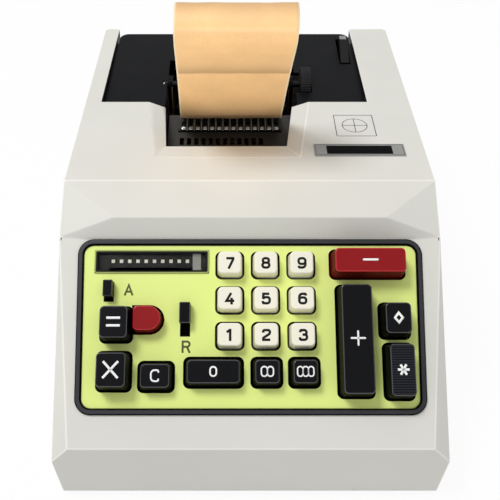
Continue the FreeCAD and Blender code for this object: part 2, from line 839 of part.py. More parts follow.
def make_key(key):
    """A key: tapered cap with rounded corners and edges, on one or two flat stems."""
    side = f"({key}_flare * ({key}_height + key_sink) / {key}_height)"
    cap = doc.addObject("Part::Wedge", f"{key}_block")
    width, length = f"({key}_width + 2 * {side})", f"({key}_length + 2 * {side})"
    bounds = {
        "Xmin": "0",
        "Xmax": width,
        "Ymin": "0",
        "Ymax": f"{key}_height + key_sink",
        "Zmin": "0",
        "Zmax": length,
        "X2min": side,
        "X2max": f"{width} - {side}",
        "Z2min": side,
        "Z2max": f"{length} - {side}",
    }
    cap.Xmin, cap.Xmax, cap.Ymin, cap.Ymax, cap.Zmin, cap.Zmax = 0, 90, 0, 90, 0, 90
    for prop, text in bounds.items():
        cap.setExpression(prop, linked(text))
    cap.Placement = FreeCAD.Placement(vec(0, 0, 0), FreeCAD.Rotation(X_AXIS, 90))
    starts_at(cap, f"{key}_x - {width} / 2", f"{length} / 2 - {key}_l", "-key_sink")
    top = key_size(key, "height") - 1

    def radius_of(low, high):
        if high - low > 1:
            return size("key_corner")
        return size("key_edge") if low > top else 0

    soft = softened(f"{key}_cap", cap, radius_of)
    if key == "key_red":
        soft = rounded_end(key, soft)
    stems = []
    for number, (x, y) in enumerate(stem_places(key)):
        stem = box(
            f"{key}_stem_{number}",
            (f"{x} - stem_width / 2", "stem_width"),
            (f"{y} - stem_depth / 2", "stem_depth"),
            ("-stem_reach", "stem_reach - key_sink / 2"),
        )
        stems.append(stem)
    return finish(key, joined(f"{key}_whole", [soft] + stems), "keyboard")


def rounded_end(key, soft):
    """Turns the right-hand end of a key into a half round, which tapers with the flanks."""
    top, sink, flare = key_size(key, "height"), size("key_sink"), key_spread(key, -size("key_sink"))
    half = key_size(key, "length") / 2
    x = key_size(key, "x") + key_size(key, "width") / 2 - half
    y = -key_size(key, "l")
    cone = Part.makeCone(half + flare, half, top + sink, vec(x, y, -sink))
    rim = [e for e in cone.Edges if len(e.Vertexes) == 1 and e.Vertexes[0].Point.z > top - TOUCH]
    cone = cone.makeFillet(size("key_edge"), rim)
    reach = 2 * half + 2 * flare
    straight = block(x - 4 * half, x, y - reach, y + reach, -2 * sink, 2 * top)
    doc.recompute()
    return shaped(f"{key}_round", soft.Shape.common(straight).fuse(cone).removeSplitter())


def key_hole(key):
    """The hole in the green plate that a key moves in."""
    extra = key_spread(key, -size("plate_thickness")) + size("key_gap")
    half_x, half_y = key_size(key, "width") / 2 + extra, key_size(key, "length") / 2 + extra
    x, y = key_size(key, "x"), -key_size(key, "l")
    low, high = -DEEP / 2, DEEP / 2
    if key != "key_red":
        corner = size("key_corner") + size("key_gap")
        return rounded_slab(x - half_x, x + half_x, y - half_y, y + half_y, low, corner)
    round_end = Part.makeCylinder(half_y, DEEP, vec(x + half_x - half_y, y, low))
    straight = block(x - half_x, x + half_x - half_y, y - half_y, y + half_y, low, high)
    return round_end.fuse(straight)


def slot_block(slider):
    """The straight slot that a slider's neck runs in."""
    half_x = size("slider_neck") / 2 + size("slot_gap")
    x, y = size(f"{slider}_x"), -size(f"{slider}_l")
    half = size(f"{slider}_length") / 2 - size("slider_neck_inset") + size("slot_gap")
    return block(x - half_x, x + half_x, y - half - size(f"{slider}_travel"), y + half, -DEEP, DEEP)


def keyboard_plate():
    """The green plate: keyboard outline, key holes, slider slots and the indicator's opening."""
    plate = field_block(size("bezel_rim") + size("fit_gap"), -size("plate_thickness"), 0)
    inset = size("indicator_wall") - size("fit_gap")
    half_x, half_y = size("indicator_width") / 2 - inset, size("indicator_length") / 2 - inset
    x, y = size("indicator_x"), -size("indicator_l")
    tray_hole = block(x - half_x, x + half_x, y - half_y, y + half_y, -DEEP, DEEP)
    holes = [key_hole(key) for key in key_names()]
    for hole in holes + [slot_block("slider_a"), slot_block("slider_r"), tray_hole]:
        plate = plate.cut(hole)
    return plate


def keyboard_bezel():
    """The black frame: a bead that stands on the housing, and a skirt with the ledge that holds the plate."""
    rim, rise, gap = size("bezel_rim"), size("bezel_rise"), size("fit_gap")
    bead = field_block(0, 0, rise)
    top_edges = [e for e in bead.Edges if min(v.Point.z for v in e.Vertexes) > rise - TOUCH]
    bead = bead.makeFillet(size("bezel_edge"), top_edges)
    skirt = field_block(size("bezel_overlap") + gap, -size("bezel_skirt"), TOUCH)
    ring = bead.fuse(skirt)
    ring = ring.cut(field_block(rim, -size("plate_thickness"), DEEP))
    ring = ring.cut(field_block(rim + size("ledge_width"), -DEEP, DEEP))
    return ring.removeSplitter()


def guide_plate():
    """Steel plate on posts under the keys that guides their stems, notched round the indicator."""
    low, double = "(-guide_depth - guide_thickness)", "3 * guide_thickness"
    plate = box(
        "guide_slab",
        ("-guide_half_width", "2 * guide_half_width"),
        ("-guide_front_l", "guide_front_l - bezel_rim"),
        (low, "guide_thickness"),
    )
    notch = box(
        "guide_notch",
        ("-guide_half_width - wall", "guide_half_width + indicator_x + indicator_width / 2 + 2 * wall"),
        ("-indicator_l - indicator_length / 2 - wall", "indicator_l + indicator_length"),
        (f"{low} - guide_thickness", double),
    )
    holes = []
    for number, (x, y) in enumerate(all_stem_places()):
        hole = box(
            f"guide_hole_{number}",
            (f"{x} - stem_width / 2 - stem_gap", "stem_width + 2 * stem_gap"),
            (f"{y} - stem_depth / 2 - stem_gap", "stem_depth + 2 * stem_gap"),
            (f"{low} - guide_thickness", double),
        )
        holes.append(hole)
    holed = cut("guide_holed", cut("guide_notched", plate, notch), group("guide_holes", holes))
    posts = []
    for number, (x, l) in enumerate(POSTS):
        length = "guide_depth + guide_thickness - plate_thickness"
        posts.append(rod(f"guide_post_{number}", "post_radius", length, x, f"-{l}", low, Z_AXIS))
    return joined("guide", [holed] + posts)


def key_springs():
    """One return spring round each stem, from the guide plate to the cap."""
    outer, inner = [], []
    for number, (x, y) in enumerate(all_stem_places()):
        place = ("guide_depth - key_sink", x, y, "-guide_depth", Z_AXIS)
        outer.append(rod(f"spring_{number}", "spring_radius", *place))
        inner.append(rod(f"spring_bore_{number}", "spring_bore", *place))
    return cut("springs", group("spring_rods", outer), group("spring_bores", inner))


def indicator_box(name, inset, low, height):
    """A block on the indicator's outline, moved in from it."""
    return box(
        name,
        (f"indicator_x - indicator_width / 2 + {inset}", f"indicator_width - 2 * {inset}"),
        (f"-indicator_l - indicator_length / 2 + {inset}", f"indicator_length - 2 * {inset}"),
        (low, height),
    )


def indicator_slot(name):
    """Slot in the indicator's floor and scale for the marker's arm."""
    return box(
        name,
        (
            "marker_x - marker_width / 2 - marker_step * marker_steps - slot_gap",
            "marker_width + marker_step * marker_steps + 2 * slot_gap",
        ),
        ("-indicator_l - marker_length / 2 - slot_gap", "marker_arm_thickness + 2 * slot_gap"),
        ("-2 * tray_depth", "4 * tray_depth"),
    )


def indicator_frame():
    """Dark tray set in the plate, with the marker's rail between two ears below it."""
    tray = indicator_box("tray_block", "indicator_wall", "-tray_depth", "tray_depth + indicator_lip")
    lip = indicator_box("tray_lip", "0", "0", "indicator_lip")
    hollow = indicator_box("tray_hollow", "2 * indicator_wall", "indicator_wall - tray_depth", "2 * tray_depth")
    open_tray = cut("tray_open", joined("tray_whole", [tray, lip]), hollow)
    open_tray = cut("tray_slotted", open_tray, indicator_slot("tray_slot"))
    half = "(indicator_width / 2 - indicator_wall)"
    low = "(-rail_depth - 2 * rail_radius)"
    ears = []
    for name, start in (("left", f"-{half}"), ("right", f"{half} - rail_ear_width")):
        ear = box(
            f"rail_ear_{name}",
            (f"indicator_x + {start}", "rail_ear_width"),
            ("-indicator_l - rail_ear_length / 2", "rail_ear_length"),
            (low, f"-tray_depth - {low}"),
        )
        ears.append(ear)
    rail = rod("rail", "rail_radius", f"2 * {half}", f"indicator_x - {half}", "-indicator_l", "-rail_depth")
    return joined("indicator_tray", [open_tray, rail] + ears)


def indicator_marker():
    """Grey pointer over the scale, its arm through the slot, and the rider on the rail."""
    low = "(scale_thickness / 2 - scale_depth + fit_gap)"
    front = "-indicator_l - marker_length / 2"
    flag = box(
        "marker_flag",
        ("marker_x - marker_width / 2", "marker_width"),
        (front, "marker_length"),
        (low, "marker_thickness"),
    )
    arm = box(
        "marker_arm",
        ("marker_x - marker_arm_width / 2", "marker_arm_width"),
        (front, "marker_arm_thickness"),
        ("-rail_depth", f"rail_depth + {low} + marker_thickness"),
    )
    rider = box(
        "marker_rider",
        ("marker_x - rider_width / 2", "rider_width"),
        (front, "marker_length / 2 + 2 * rail_radius"),
        ("-rail_depth - 2 * rail_radius", "4 * rail_radius"),
    )
    place = ("2 * rider_width", "marker_x - rider_width", "-indicator_l", "-rail_depth")
    bore = rod("marker_bore", "rail_radius + rail_gap", *place)
    return cut("marker", joined("marker_whole", [flag, arm, rider]), bore)


def indicator_scale():
    top = "scale_thickness / 2 - scale_depth"
    low = "(indicator_wall - tray_depth)"
    strip = indicator_box("scale_block", "2 * indicator_wall", low, f"{top} - {low}")
    return cut("scale", strip, indicator_slot("scale_slot"))


def indicator_lens():
    low = "indicator_lip - lens_thickness"
    return group("lens", [indicator_box("lens_pane", "2 * indicator_wall", low, "lens_thickness")])


def make_slider(slider):
    """A slider: knob above the plate, neck through the slot and foot under the plate."""
    across = (f"{slider}_x - {slider}_width / 2", f"{slider}_width")
    along = (f"-{slider}_l - {slider}_length / 2", f"{slider}_length")
    low = "(-plate_thickness - fit_gap - slider_foot)"
    knob = box(f"{slider}_block", across, along, ("fit_gap", "slider_height - fit_gap"))
    top = size("slider_height") - TOUCH
    knob = softened(f"{slider}_knob", knob, lambda start, end: size("slider_edge") if end > top else 0)
    neck = box(
        f"{slider}_neck",
        (f"{slider}_x - slider_neck / 2", "slider_neck"),
        (f"{along[0]} + slider_neck_inset", f"{slider}_length - 2 * slider_neck_inset"),
        (low, f"2 * fit_gap - {low}"),
    )
    foot = box(f"{slider}_foot", across, along, (low, "slider_foot"))
    return joined(f"{slider}_whole", [knob, neck, foot])


def side_frame(side, x0):
    """Steel side plate: flange on the pan, ear for the platen, shaft bores and an arm for the ribbon spool."""
    right = side == "right"
    wide = (x0, "frame_thickness")

    def part(name, y, z):
        return box(f"frame_{name}_{side}", wide, y, z)

    pieces = [
        part(
            "front",
            ("frame_front_y", "platen_y - ear_radius - frame_front_y"),
            (PAN_TOP, f"frame_front_height - {PAN_TOP}"),
        ),
        part("middle", ("platen_y - ear_radius", "2 * ear_radius"), (PAN_TOP, f"platen_z - {PAN_TOP}")),
        part(
            "rear",
            ("platen_y + ear_radius", "frame_rear_y - platen_y - ear_radius"),
            (PAN_TOP, f"frame_rear_height - {PAN_TOP}"),
        ),
        rod(f"frame_ear_{side}", "ear_radius", "frame_thickness", x0, "platen_y", "platen_z"),
        box(
            f"frame_flange_{side}",
            (f"{x0} + frame_thickness" if right else f"{x0} - frame_flange", "frame_flange"),
            ("frame_front_y", "frame_rear_y - frame_front_y"),
            (PAN_TOP, "frame_thickness"),
        ),
    ]
    bores = [
        ("platen", "shaft_radius", "platen_y", "platen_z"),
        ("wheel", "wheel_shaft_radius", "wheel_y", "wheel_z"),
        ("drive", "drive_shaft_radius", "drive_y", "drive_z"),
    ]
    if not right:
        bores.append(("motor", "motor_shaft_radius", MOTOR_Y, "drive_z"))
    tools = []
    for name, radius, y, z in bores:
        start = f"{x0} - frame_thickness"
        tools.append(rod(f"{name}_bore_{side}", f"{radius} + shaft_gap", "3 * frame_thickness", start, y, z))
    whole = joined(f"frame_plate_{side}", pieces)
    plate = cut(f"frame_bored_{side}", whole, group(f"frame_bores_{side}", tools))
    if right:
        pin_x, start = "spool_right_x", x0
        reach = f"spool_right_x + spool_arm_reach - {x0}"
    else:
        pin_x, start = "(-spool_left_x)", "-spool_left_x - spool_arm_reach"
        reach = f"{x0} + frame_thickness + spool_arm_reach + spool_left_x"
    arm = box(
        f"spool_arm_{side}",
        (start, reach),
        ("spool_y - spool_arm_width / 2", "spool_arm_width"),
        ("spool_z - fit_gap - frame_thickness", "frame_thickness"),
    )
    height, low = "spool_height + fit_gap", "spool_z - fit_gap"
    pin = rod(f"spool_pin_{side}", "spool_pin_radius", height, pin_x, "spool_y", low, Z_AXIS)
    return joined(f"frame_{side}", [plate, arm, pin])


def across_rod(name, radius, y, z):
    """A round bar that just fills the space between the side frames."""
    return rod(name, radius, INNER_WIDTH, "-frame_left", y, z)


def tie_rods():
    """Three bars that hold the side frames apart."""
    low = f"{PAN_TOP} + rod_height"
    places = (
        ("front", "frame_front_y + rod_inset", low),
        ("rear", "frame_rear_y - rod_inset", low),
        ("upper", "frame_rear_y - upper_rod_inset", "frame_rear_height - upper_rod_inset"),
    )
    return group("rods", [across_rod(f"rod_{name}", "shaft_radius", y, z) for name, y, z in places])


def plate_height(y):
    """Height of the print plate's top face."""
    share = (y - size("plate_front_y")) / (size("plate_rear_y") - size("plate_front_y"))
    return size("plate_front_z") + share * (size("plate_rear_z") - size("plate_front_z"))


def print_plate():
    """Sloped metal plate under the window: two rows of holes and the ends turned down to the frames."""
    front, rear = size("plate_front_y"), size("plate_rear_y")
    thick, left, right = size("print_plate_thickness"), -size("frame_left"), size("frame_right")
    top = [(y, plate_height(y)) for y in (front, rear)]
    under = [(y, z - thick) for y, z in reversed(top)]
    plate = prism([(left, y, z) for y, z in top + under], vec(right - left, 0, 0))
    near = front + size("lug_start")
    far = near + size("lug_length")
    low, sunk = size("plate_front_z") - size("lug_drop"), thick / 2
    lug = [(near, low), (far, low), (far, plate_height(far) - sunk), (near, plate_height(near) - sunk)]
    for x in (left, right - thick):
        plate = plate.fuse(prism([(x, y, z) for y, z in lug], vec(thick, 0, 0)))
    holes = []
    for count, row in ((14, "upper"), (12, "lower")):
        near, length = size(f"{row}_hole_y"), size(f"{row}_hole_length")
        for k in range(count):
            x = size(f"{row}_hole_x") + k * size("hole_pitch") - size("hole_width") / 2
            holes.append(block(x, x + size("hole_width"), near, near + length, low, 0))
    return plate.cut(Part.makeCompound(holes)).removeSplitter()


def tear_bar():
    """Toothed bar on the print plate: a strip with one round tooth in front of each upper hole."""
    pitch, first = size("hole_pitch"), size("upper_hole_x")
    start = first - 0.75 * pitch
    y, wide, high = size("tear_bar_y"), size("tear_bar_width"), size("tear_bar_height")
    low = [(y, plate_height(y)), (y + wide, plate_height(y + wide))]
    top = [(at, z + high) for at, z in reversed(low)]
    strip = prism([(start, at, z) for at, z in low + top], vec(14.5 * pitch, 0, 0))
    base = plate_height(y + wide + size("hole_width") / 2) + TOUCH
    teeth = []
    for k in range(14):
        teeth.append(Part.makeCylinder(size("hole_width") / 2, high, vec(first + k * pitch, y + wide, base)))
    return strip.multiFuse(teeth).removeSplitter()


def type_wheels():
    """A shaft through both side frames with one type wheel under each column of the print plate."""
    reach = "2 * frame_thickness"
    place = (f"{INNER_WIDTH} + 2 * {reach}", f"-frame_left - {reach}", "wheel_y", "wheel_z")
    shaft = rod("wheel_shaft", "wheel_shaft_radius", *place)
    wheels = []
    for k in range(14):
        wheel = doc.addObject("Part::Prism", f"type_wheel_{k}")
        wheel.Polygon = 12
        wheel.setExpression("Circumradius", linked("wheel_radius"))
        wheel.setExpression("Height", linked("wheel_thickness"))
        wheel.Placement = FreeCAD.Placement(vec(0, 0, 0), FreeCAD.Rotation(Z_AXIS, X_AXIS))
        start = f"upper_hole_x + {k} * hole_pitch - wheel_thickness / 2"
        wheels.append(starts_at(wheel, start, "wheel_y", "wheel_z"))
    return joined("wheels", [shaft] + wheels)


def platen_roller():
    place = ("platen_length", "platen_x - platen_length / 2", "platen_y", "platen_z")
    return cut("roller", rod("roller_drum", "platen_radius", *place), rod("roller_bore", "shaft_radius", *place))


def platen_shaft():
    length = "shaft_left + knob_x + knob_width"
    return group("shaft", [rod("shaft_bar", "shaft_radius", length, "-shaft_left", "platen_y", "platen_z")])


def paper_knob():
    """Knurled thumb wheel on the end of the platen shaft."""
    count = int(size("knob_ridges"))
    outer, inner = size("knob_radius"), size("knob_radius") - size("knob_ridge_depth")
    points = []
    for k in range(2 * count):
        radius = outer if k % 2 else inner
        angle = math.pi * k / count
        points.append((0, radius * math.cos(angle), radius * math.sin(angle)))
    wheel = shaped("knob_wheel", prism(points, vec(size("knob_width"), 0, 0)))
    starts_at(wheel, "knob_x", "platen_y", "platen_z")
    bore = rod("knob_bore", "shaft_radius", "3 * knob_width", "knob_x - knob_width", "platen_y", "platen_z")
    return cut("knob", wheel, bore)


def paper_roll():
    place = ("paper_width", "paper_x - paper_width / 2", "roll_y", "roll_z")
    bore = rod("roll_bore", "spindle_radius + spindle_gap", *place)
    return cut("roll", rod("roll_drum", "roll_radius", *place), bore)


def roll_spindle():
    return group("spindle", [across_rod("spindle_bar", "spindle_radius", "roll_y", "roll_z")])


def offset_line(points, distance):
    """A smooth curve beside the paper's middle line."""
    middle = Part.BSplineCurve()
    middle.interpolate([vec(0, y, z) for y, z in points])
    first, last = middle.FirstParameter, middle.LastParameter
    steps = 3 * len(points)
    side = []
    for k in range(steps + 1):
        at = first + (last - first) * k / steps
        along = middle.tangent(at)[0]
        side.append(middle.value(at) + vec(0, -along.z, along.y) * distance)
    curve = Part.BSplineCurve()
    curve.interpolate(side)
    return curve.toShape()


def paper_strip():
    """The paper strip: from the supply roll past the platen, up through the throat and over in a curl."""
    half = size("paper_thickness") / 2
    near, far = offset_line(PAPER_LINE, half), offset_line(PAPER_LINE, -half)
    ends = [
        Part.makeLine(near.Vertexes[0].Point, far.Vertexes[0].Point),
        Part.makeLine(near.Vertexes[-1].Point, far.Vertexes[-1].Point),
    ]
    face = Part.Face(Part.Wire(Part.__sortEdges__([near, far] + ends)))
    strip = face.extrude(vec(size("paper_width"), 0, 0))
    lean = FreeCAD.Matrix()
    lean.A13 = size("paper_lean")
    lean.A14 = size("paper_x") - size("paper_width") / 2 - size("paper_lean") * PAPER_LINE[0][1]
    return strip.transformGeometry(lean)


def release_lever():
    """Paper release lever: boss on its pin and a blade that rises through the cover, narrower to its tip."""
    half, tip = size("lever_width") / 2, size("lever_tip_width") / 2
    middle, wide = size("lever_x"), vec(size("lever_width"), 0, 0)
    x, y, z = middle - half, size("lever_pivot_y"), size("lever_pivot_z")
    top_y, top_z, root = size("lever_top_y"), size("lever_top_z"), size("lever_root")
    shoulder = (y - root, z + size("lever_shoulder"))
    outline = [
        (y - root, z),
        (y + root, z - 1),
        (top_y, top_z - size("lever_top_height")),
        (top_y, top_z),
        (top_y - size("lever_top_length"), top_z),
        shoulder,
    ]
    blade = prism([(x, at, height) for at, height in outline], wide)
    rise, run = top_z - shoulder[1], top_y - shoulder[0]
    for side in (-1, 1):
        base = (middle + side * half,) + shoulder
        square = (middle + side * half, shoulder[0] - rise, shoulder[1] + run)
        blade = trimmed(blade, [base, square, (middle + side * tip, top_y, top_z)], (middle, y, z), 0)
    blade = blade.fuse(Part.makeCylinder(size("lever_boss_radius"), 2 * half, vec(x, y, z), X_AXIS))
    bore_radius = size("lever_pin_radius") + size("shaft_gap")
    bore = Part.makeCylinder(bore_radius, 4 * half, vec(x - half, y, z), X_AXIS)
    return blade.cut(bore).removeSplitter()


def lever_bracket():
    """Pin for the release lever, in a bracket that stands on the pan."""
    half = "(lever_width / 2 + fit_gap)"
    along = ("lever_pivot_y - bracket_length / 2", "bracket_length")
    rise = f"lever_pivot_z + bracket_rise - {PAN_TOP}"
    start, thick = f"lever_x - {half}", "frame_thickness"
    left = box("bracket_left", (f"{start} - {thick}", thick), along, (PAN_TOP, rise))
    right = box("bracket_right", (f"lever_x + {half}", thick), along, (PAN_TOP, rise))
    foot = box("bracket_foot", (start, f"2 * {half}"), along, (PAN_TOP, thick))
    pin = rod("bracket_pin", "lever_pin_radius", f"2 * {half}", start, "lever_pivot_y", "lever_pivot_z")
    return joined("bracket", [left, right, foot, pin])


def gear(name, teeth, y, z, phase):
    """A spur gear of straight-sided teeth, with clearance in the mesh."""
    module = size("gear_module")
    pitch_radius = module * teeth / 2
    root, tip = pitch_radius - 1.25 * module, pitch_radius + 0.95 * module
    step = 2 * math.pi / teeth
    points = []
    for k in range(teeth):
        middle = phase + k * step
        for radius, share in ((root, -0.36), (tip, -0.12), (tip, 0.12), (root, 0.36)):
            angle = middle + share * step
            points.append((0, radius * math.cos(angle), radius * math.sin(angle)))
    wheel = shaped(name, prism(points, vec(size("gear_width"), 0, 0)))
    return starts_at(wheel, GEAR_X, y, z)


def drive_gear():
    """The main gear on its shaft, which runs through both side frames."""
    wheel = gear("main_gear", int(size("drive_teeth")), "drive_y", "drive_z", 0)
    length = f"frame_right + 2 * frame_thickness - {GEAR_X}"
    bar = rod("main_bar", "drive_shaft_radius", length, GEAR_X, "drive_y", "drive_z")
    return joined("main_shaft", [wheel, bar])


def motor_pinion():
    """The pinion and the motor shaft that it is cut on."""
    teeth = int(size("pinion_teeth"))
    wheel = gear("pinion", teeth, MOTOR_Y, "drive_z", math.pi / teeth)
    length = f"{MOTOR_X} + motor_length / 2 - {GEAR_X}"
    bar = rod("rotor_bar", "motor_shaft_radius", length, GEAR_X, MOTOR_Y, "drive_z")
    return joined("rotor", [wheel, bar])


def drive_motor():
    """The motor's can, bored for the shaft."""
    place = (MOTOR_X, MOTOR_Y, "drive_z")
    can = rod("motor_can", "motor_radius", "motor_length", *place)
    return cut("motor", can, rod("motor_bore", "motor_shaft_radius + shaft_gap", "motor_length / 2", *place))


def motor_mount():
    """Cradle under the motor, on the pan, with a hole for the front tie rod."""
    reach = "(motor_radius + mount_wall)"
    cradle = box(
        "mount_block",
        (f"{MOTOR_X} + mount_wall", "motor_length - 2 * mount_wall"),
        (f"{MOTOR_Y} - {reach}", f"2 * {reach}"),
        (PAN_TOP, f"drive_z - mount_sink - {PAN_TOP}"),
    )
    hollow = rod("mount_hollow", "motor_radius", "motor_length", MOTOR_X, MOTOR_Y, "drive_z")
    place = ("frame_front_y + rod_inset", f"{PAN_TOP} + rod_height")
    rod_hole = across_rod("mount_rod_hole", "shaft_radius + shaft_gap", *place)
    return cut("mount", cut("mount_cradle", cradle, hollow), rod_hole)


def ribbon_spool(side, x):
    """Ribbon spool with two flanges on a hub."""

    def turned(name, radius, length, low="spool_z"):
        return rod(f"spool_{name}_{side}", radius, length, x, "spool_y", low, Z_AXIS)

    pieces = [
        turned("hub", "spool_hub_radius", "spool_height"),
        turned("low", "spool_radius", "spool_flange"),
        turned("top", "spool_radius", "spool_flange", "spool_z + spool_height - spool_flange"),
    ]
    bore = turned("bore", "spool_pin_radius + shaft_gap", "spool_height")
    return cut(f"spool_{side}", joined(f"spool_solid_{side}", pieces), bore)


def power_inlet():
    """Two-pin mains inlet in the rear wall, with a socket open to the rear."""
    half_x, half_z = "(inlet_width / 2 - fit_gap / 2)", "(inlet_height / 2 - fit_gap / 2)"
    shell = box(
        "inlet_shell",
        (f"inlet_x - {half_x}", f"2 * {half_x}"),
        ("body_depth - inlet_depth", "inlet_depth - trim_sink"),
        (f"inlet_z - {half_z}", f"2 * {half_z}"),
    )
    mouth = box(
        "inlet_mouth",
        (f"inlet_x - {half_x} + inlet_rim", f"2 * {half_x} - 2 * inlet_rim"),
        ("body_depth - inlet_socket_depth", "inlet_socket_depth"),
        (f"inlet_z - {half_z} + inlet_rim", f"2 * {half_z} - 2 * inlet_rim"),
    )
    return cut("inlet", shell, mouth)


def inlet_pins():
    pins = []
    for name, side in (("left", "-"), ("right", "+")):
        x = f"inlet_x {side} inlet_pin_pitch / 2"
        length, start = "inlet_socket_depth - inlet_pin_inset", "body_depth - inlet_socket_depth"
        pins.append(rod(f"inlet_pin_{name}", "inlet_pin_radius", length, x, start, "inlet_z", Y_AXIS))
    return group("pins", pins)


def deck_plate(name, place, width, length, heights):
    """A flat plate on the deck, from the words that start the names of its sizes."""
    return box(name, (f"{place}_x - {width} / 2", width), (f"{place}_y - {length} / 2", length), heights)


def name_pocket(name, height):
    """The room for the dark strip in the name plate."""
    heights = ("trim_thickness / 2 - trim_sink", height)
    return deck_plate(name, "name_plate", "name_insert_width", "name_insert_length", heights)


def name_plate():
    heights = ("-trim_sink", "trim_thickness")
    plate = deck_plate("name_slab", "name_plate", "name_plate_width", "name_plate_length", heights)
    return cut("name_tray", plate, name_pocket("name_room", "trim_thickness"))


def name_insert():
    return group("insert", [name_pocket("name_strip", "trim_thickness / 2")])


def emblem_plate():
    heights = ("-trim_sink", "trim_sink")
    return group("emblem", [deck_plate("emblem_slab", "emblem", "emblem_width", "emblem_width", heights)])


def build():
    """Makes every sub-part in the order that it would be put together."""
    finish("housing_shell", shaped("housing_shell", housing()))
    finish("base_pan", base_pan())
    finish("rubber_feet", rubber_feet())
    finish("base_screws", base_screws())
    finish("keyboard_bezel", shaped("keyboard_bezel", keyboard_bezel()), "keyboard")
    finish("keyboard_plate", shaped("keyboard_plate", keyboard_plate()), "keyboard")
    finish("guide_plate", guide_plate(), "keyboard")
    finish("key_springs", key_springs(), "keyboard")
    for key in key_names():
        make_key(key)
    finish("indicator_frame", indicator_frame(), "keyboard")
    finish("indicator_scale", indicator_scale(), "keyboard")
    finish("indicator_lens", indicator_lens(), "keyboard")
    finish("indicator_marker", indicator_marker(), "keyboard")
    finish("slider_a", make_slider("slider_a"), "keyboard")
    finish("slider_r", make_slider("slider_r"), "keyboard")
    finish("side_frame_left", side_frame("left", "(-frame_left - frame_thickness)"), "rear")
    finish("side_frame_right", side_frame("right", "frame_right"), "rear")
    finish("tie_rods", tie_rods(), "rear")
    finish("print_plate", shaped("print_plate", print_plate()), "rear")
    finish("tear_bar", shaped("tear_bar", tear_bar()), "rear")
    finish("type_wheels", type_wheels(), "rear")
    finish("platen_roller", platen_roller(), "rear")
    finish("platen_shaft", platen_shaft(), "rear")
    finish("paper_knob", paper_knob(), "rear")
    finish("paper_roll", paper_roll(), "rear")
    finish("roll_spindle", roll_spindle(), "rear")
    finish("paper_strip", shaped("paper_strip", paper_strip()), "rear")
    finish("rear_cover", shaped("rear_cover", rear_cover()), "rear")
    finish("release_lever", shaped("release_lever", release_lever()), "rear")
    finish("lever_bracket", lever_bracket(), "rear")
    finish("drive_gear", drive_gear(), "rear")
    finish("motor_pinion", motor_pinion(), "rear")
    finish("drive_motor", drive_motor(), "rear")
    finish("motor_mount", motor_mount(), "rear")
    finish("ribbon_spool_left", ribbon_spool("left", "-spool_left_x"), "rear")
    finish("ribbon_spool_right", ribbon_spool("right", "spool_right_x"), "rear")
    finish("power_inlet", power_inlet())
    finish("inlet_pins", inlet_pins())
    finish("name_plate", name_plate(), "rear")
    finish("name_insert", name_insert(), "rear")
    finish("emblem_plate", emblem_plate(), "rear")


def check_and_write():
    """Stops at anything that failed, then writes each sub-part to its own file."""
    doc.recompute()
    for obj in doc.Objects:
        if "Invalid" in obj.State or "Error" in obj.State:
            raise RuntimeError(f"{obj.Name} failed: {obj.State}")
    for node, obj in NODES.items():
        shape = obj.Shape
        if shape.isNull() or not shape.isValid() or not shape.Solids:
            raise RuntimeError(f"{node} has no valid solid")
        shape.exportStep(f"parts/{node}.step")
        bounds = shape.BoundBox
        volume = shape.Volume / 1000
        print(f"{node}: {len(shape.Solids)} solid, {volume:.2f} cm3, z {bounds.ZMin:.1f} to {bounds.ZMax:.1f}")


build()
check_and_write()
print(f"{len(NODES)} sub-parts written")
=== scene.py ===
import json
from math import atan2, cos, radians, sin, tan

import bmesh
import bpy
from bpy.props import FloatProperty, FloatVectorProperty, IntProperty, PointerProperty
from bpy.types import Operator, Panel, PropertyGroup, Scene
from mathutils import Matrix, Vector


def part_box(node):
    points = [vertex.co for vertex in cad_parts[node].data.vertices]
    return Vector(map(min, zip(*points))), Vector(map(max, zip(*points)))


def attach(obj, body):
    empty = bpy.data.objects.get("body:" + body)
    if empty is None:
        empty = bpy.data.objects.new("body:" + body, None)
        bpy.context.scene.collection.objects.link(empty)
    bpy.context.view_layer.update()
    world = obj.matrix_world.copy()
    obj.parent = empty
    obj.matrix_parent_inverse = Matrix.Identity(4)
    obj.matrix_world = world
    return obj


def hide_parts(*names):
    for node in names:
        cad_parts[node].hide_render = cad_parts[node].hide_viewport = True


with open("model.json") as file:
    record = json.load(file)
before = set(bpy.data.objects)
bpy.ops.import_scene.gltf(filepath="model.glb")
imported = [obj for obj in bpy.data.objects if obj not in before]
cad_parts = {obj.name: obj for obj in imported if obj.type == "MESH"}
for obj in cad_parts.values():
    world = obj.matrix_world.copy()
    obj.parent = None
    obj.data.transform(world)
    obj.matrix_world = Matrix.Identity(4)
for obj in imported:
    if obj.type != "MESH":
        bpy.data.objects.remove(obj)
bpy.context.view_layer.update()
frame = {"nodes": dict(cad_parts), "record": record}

bl_info = {
    "name": "Printing adding machine",
    "version": (1, 0, 0),
    "blender": (4, 5, 0),
    "location": "View3D > Sidebar > Adding machine",
    "description": "Gives the packed model of a printing adding machine its finished pieces and stage",
    "category": "Object",
}

MM = 0.001
NODES = frame["nodes"]
BODIES = frame["record"]["behaviour"]["bodies"]
BODY_OF = {node: body for body, members in BODIES.items() for node in members}
SLOT_OF = {part["node"]: part["material_slot"] for part in frame["record"]["subparts"]}

# The key field's frame: x to the right, y up the slope, z out of the field, from the middle of the brow's foot
FIELD_SLOPE = 35.85
FIELD_ORIGIN = (0.0, -73.6, 117.4)
KEY_FIELD = Matrix.Translation(Vector(FIELD_ORIGIN) * MM) @ Matrix.Rotation(radians(FIELD_SLOPE), 4, "X")
TO_FIELD = KEY_FIELD.inverted()
FIELD_UP = KEY_FIELD.to_3x3() @ Vector((0, 0, 1))

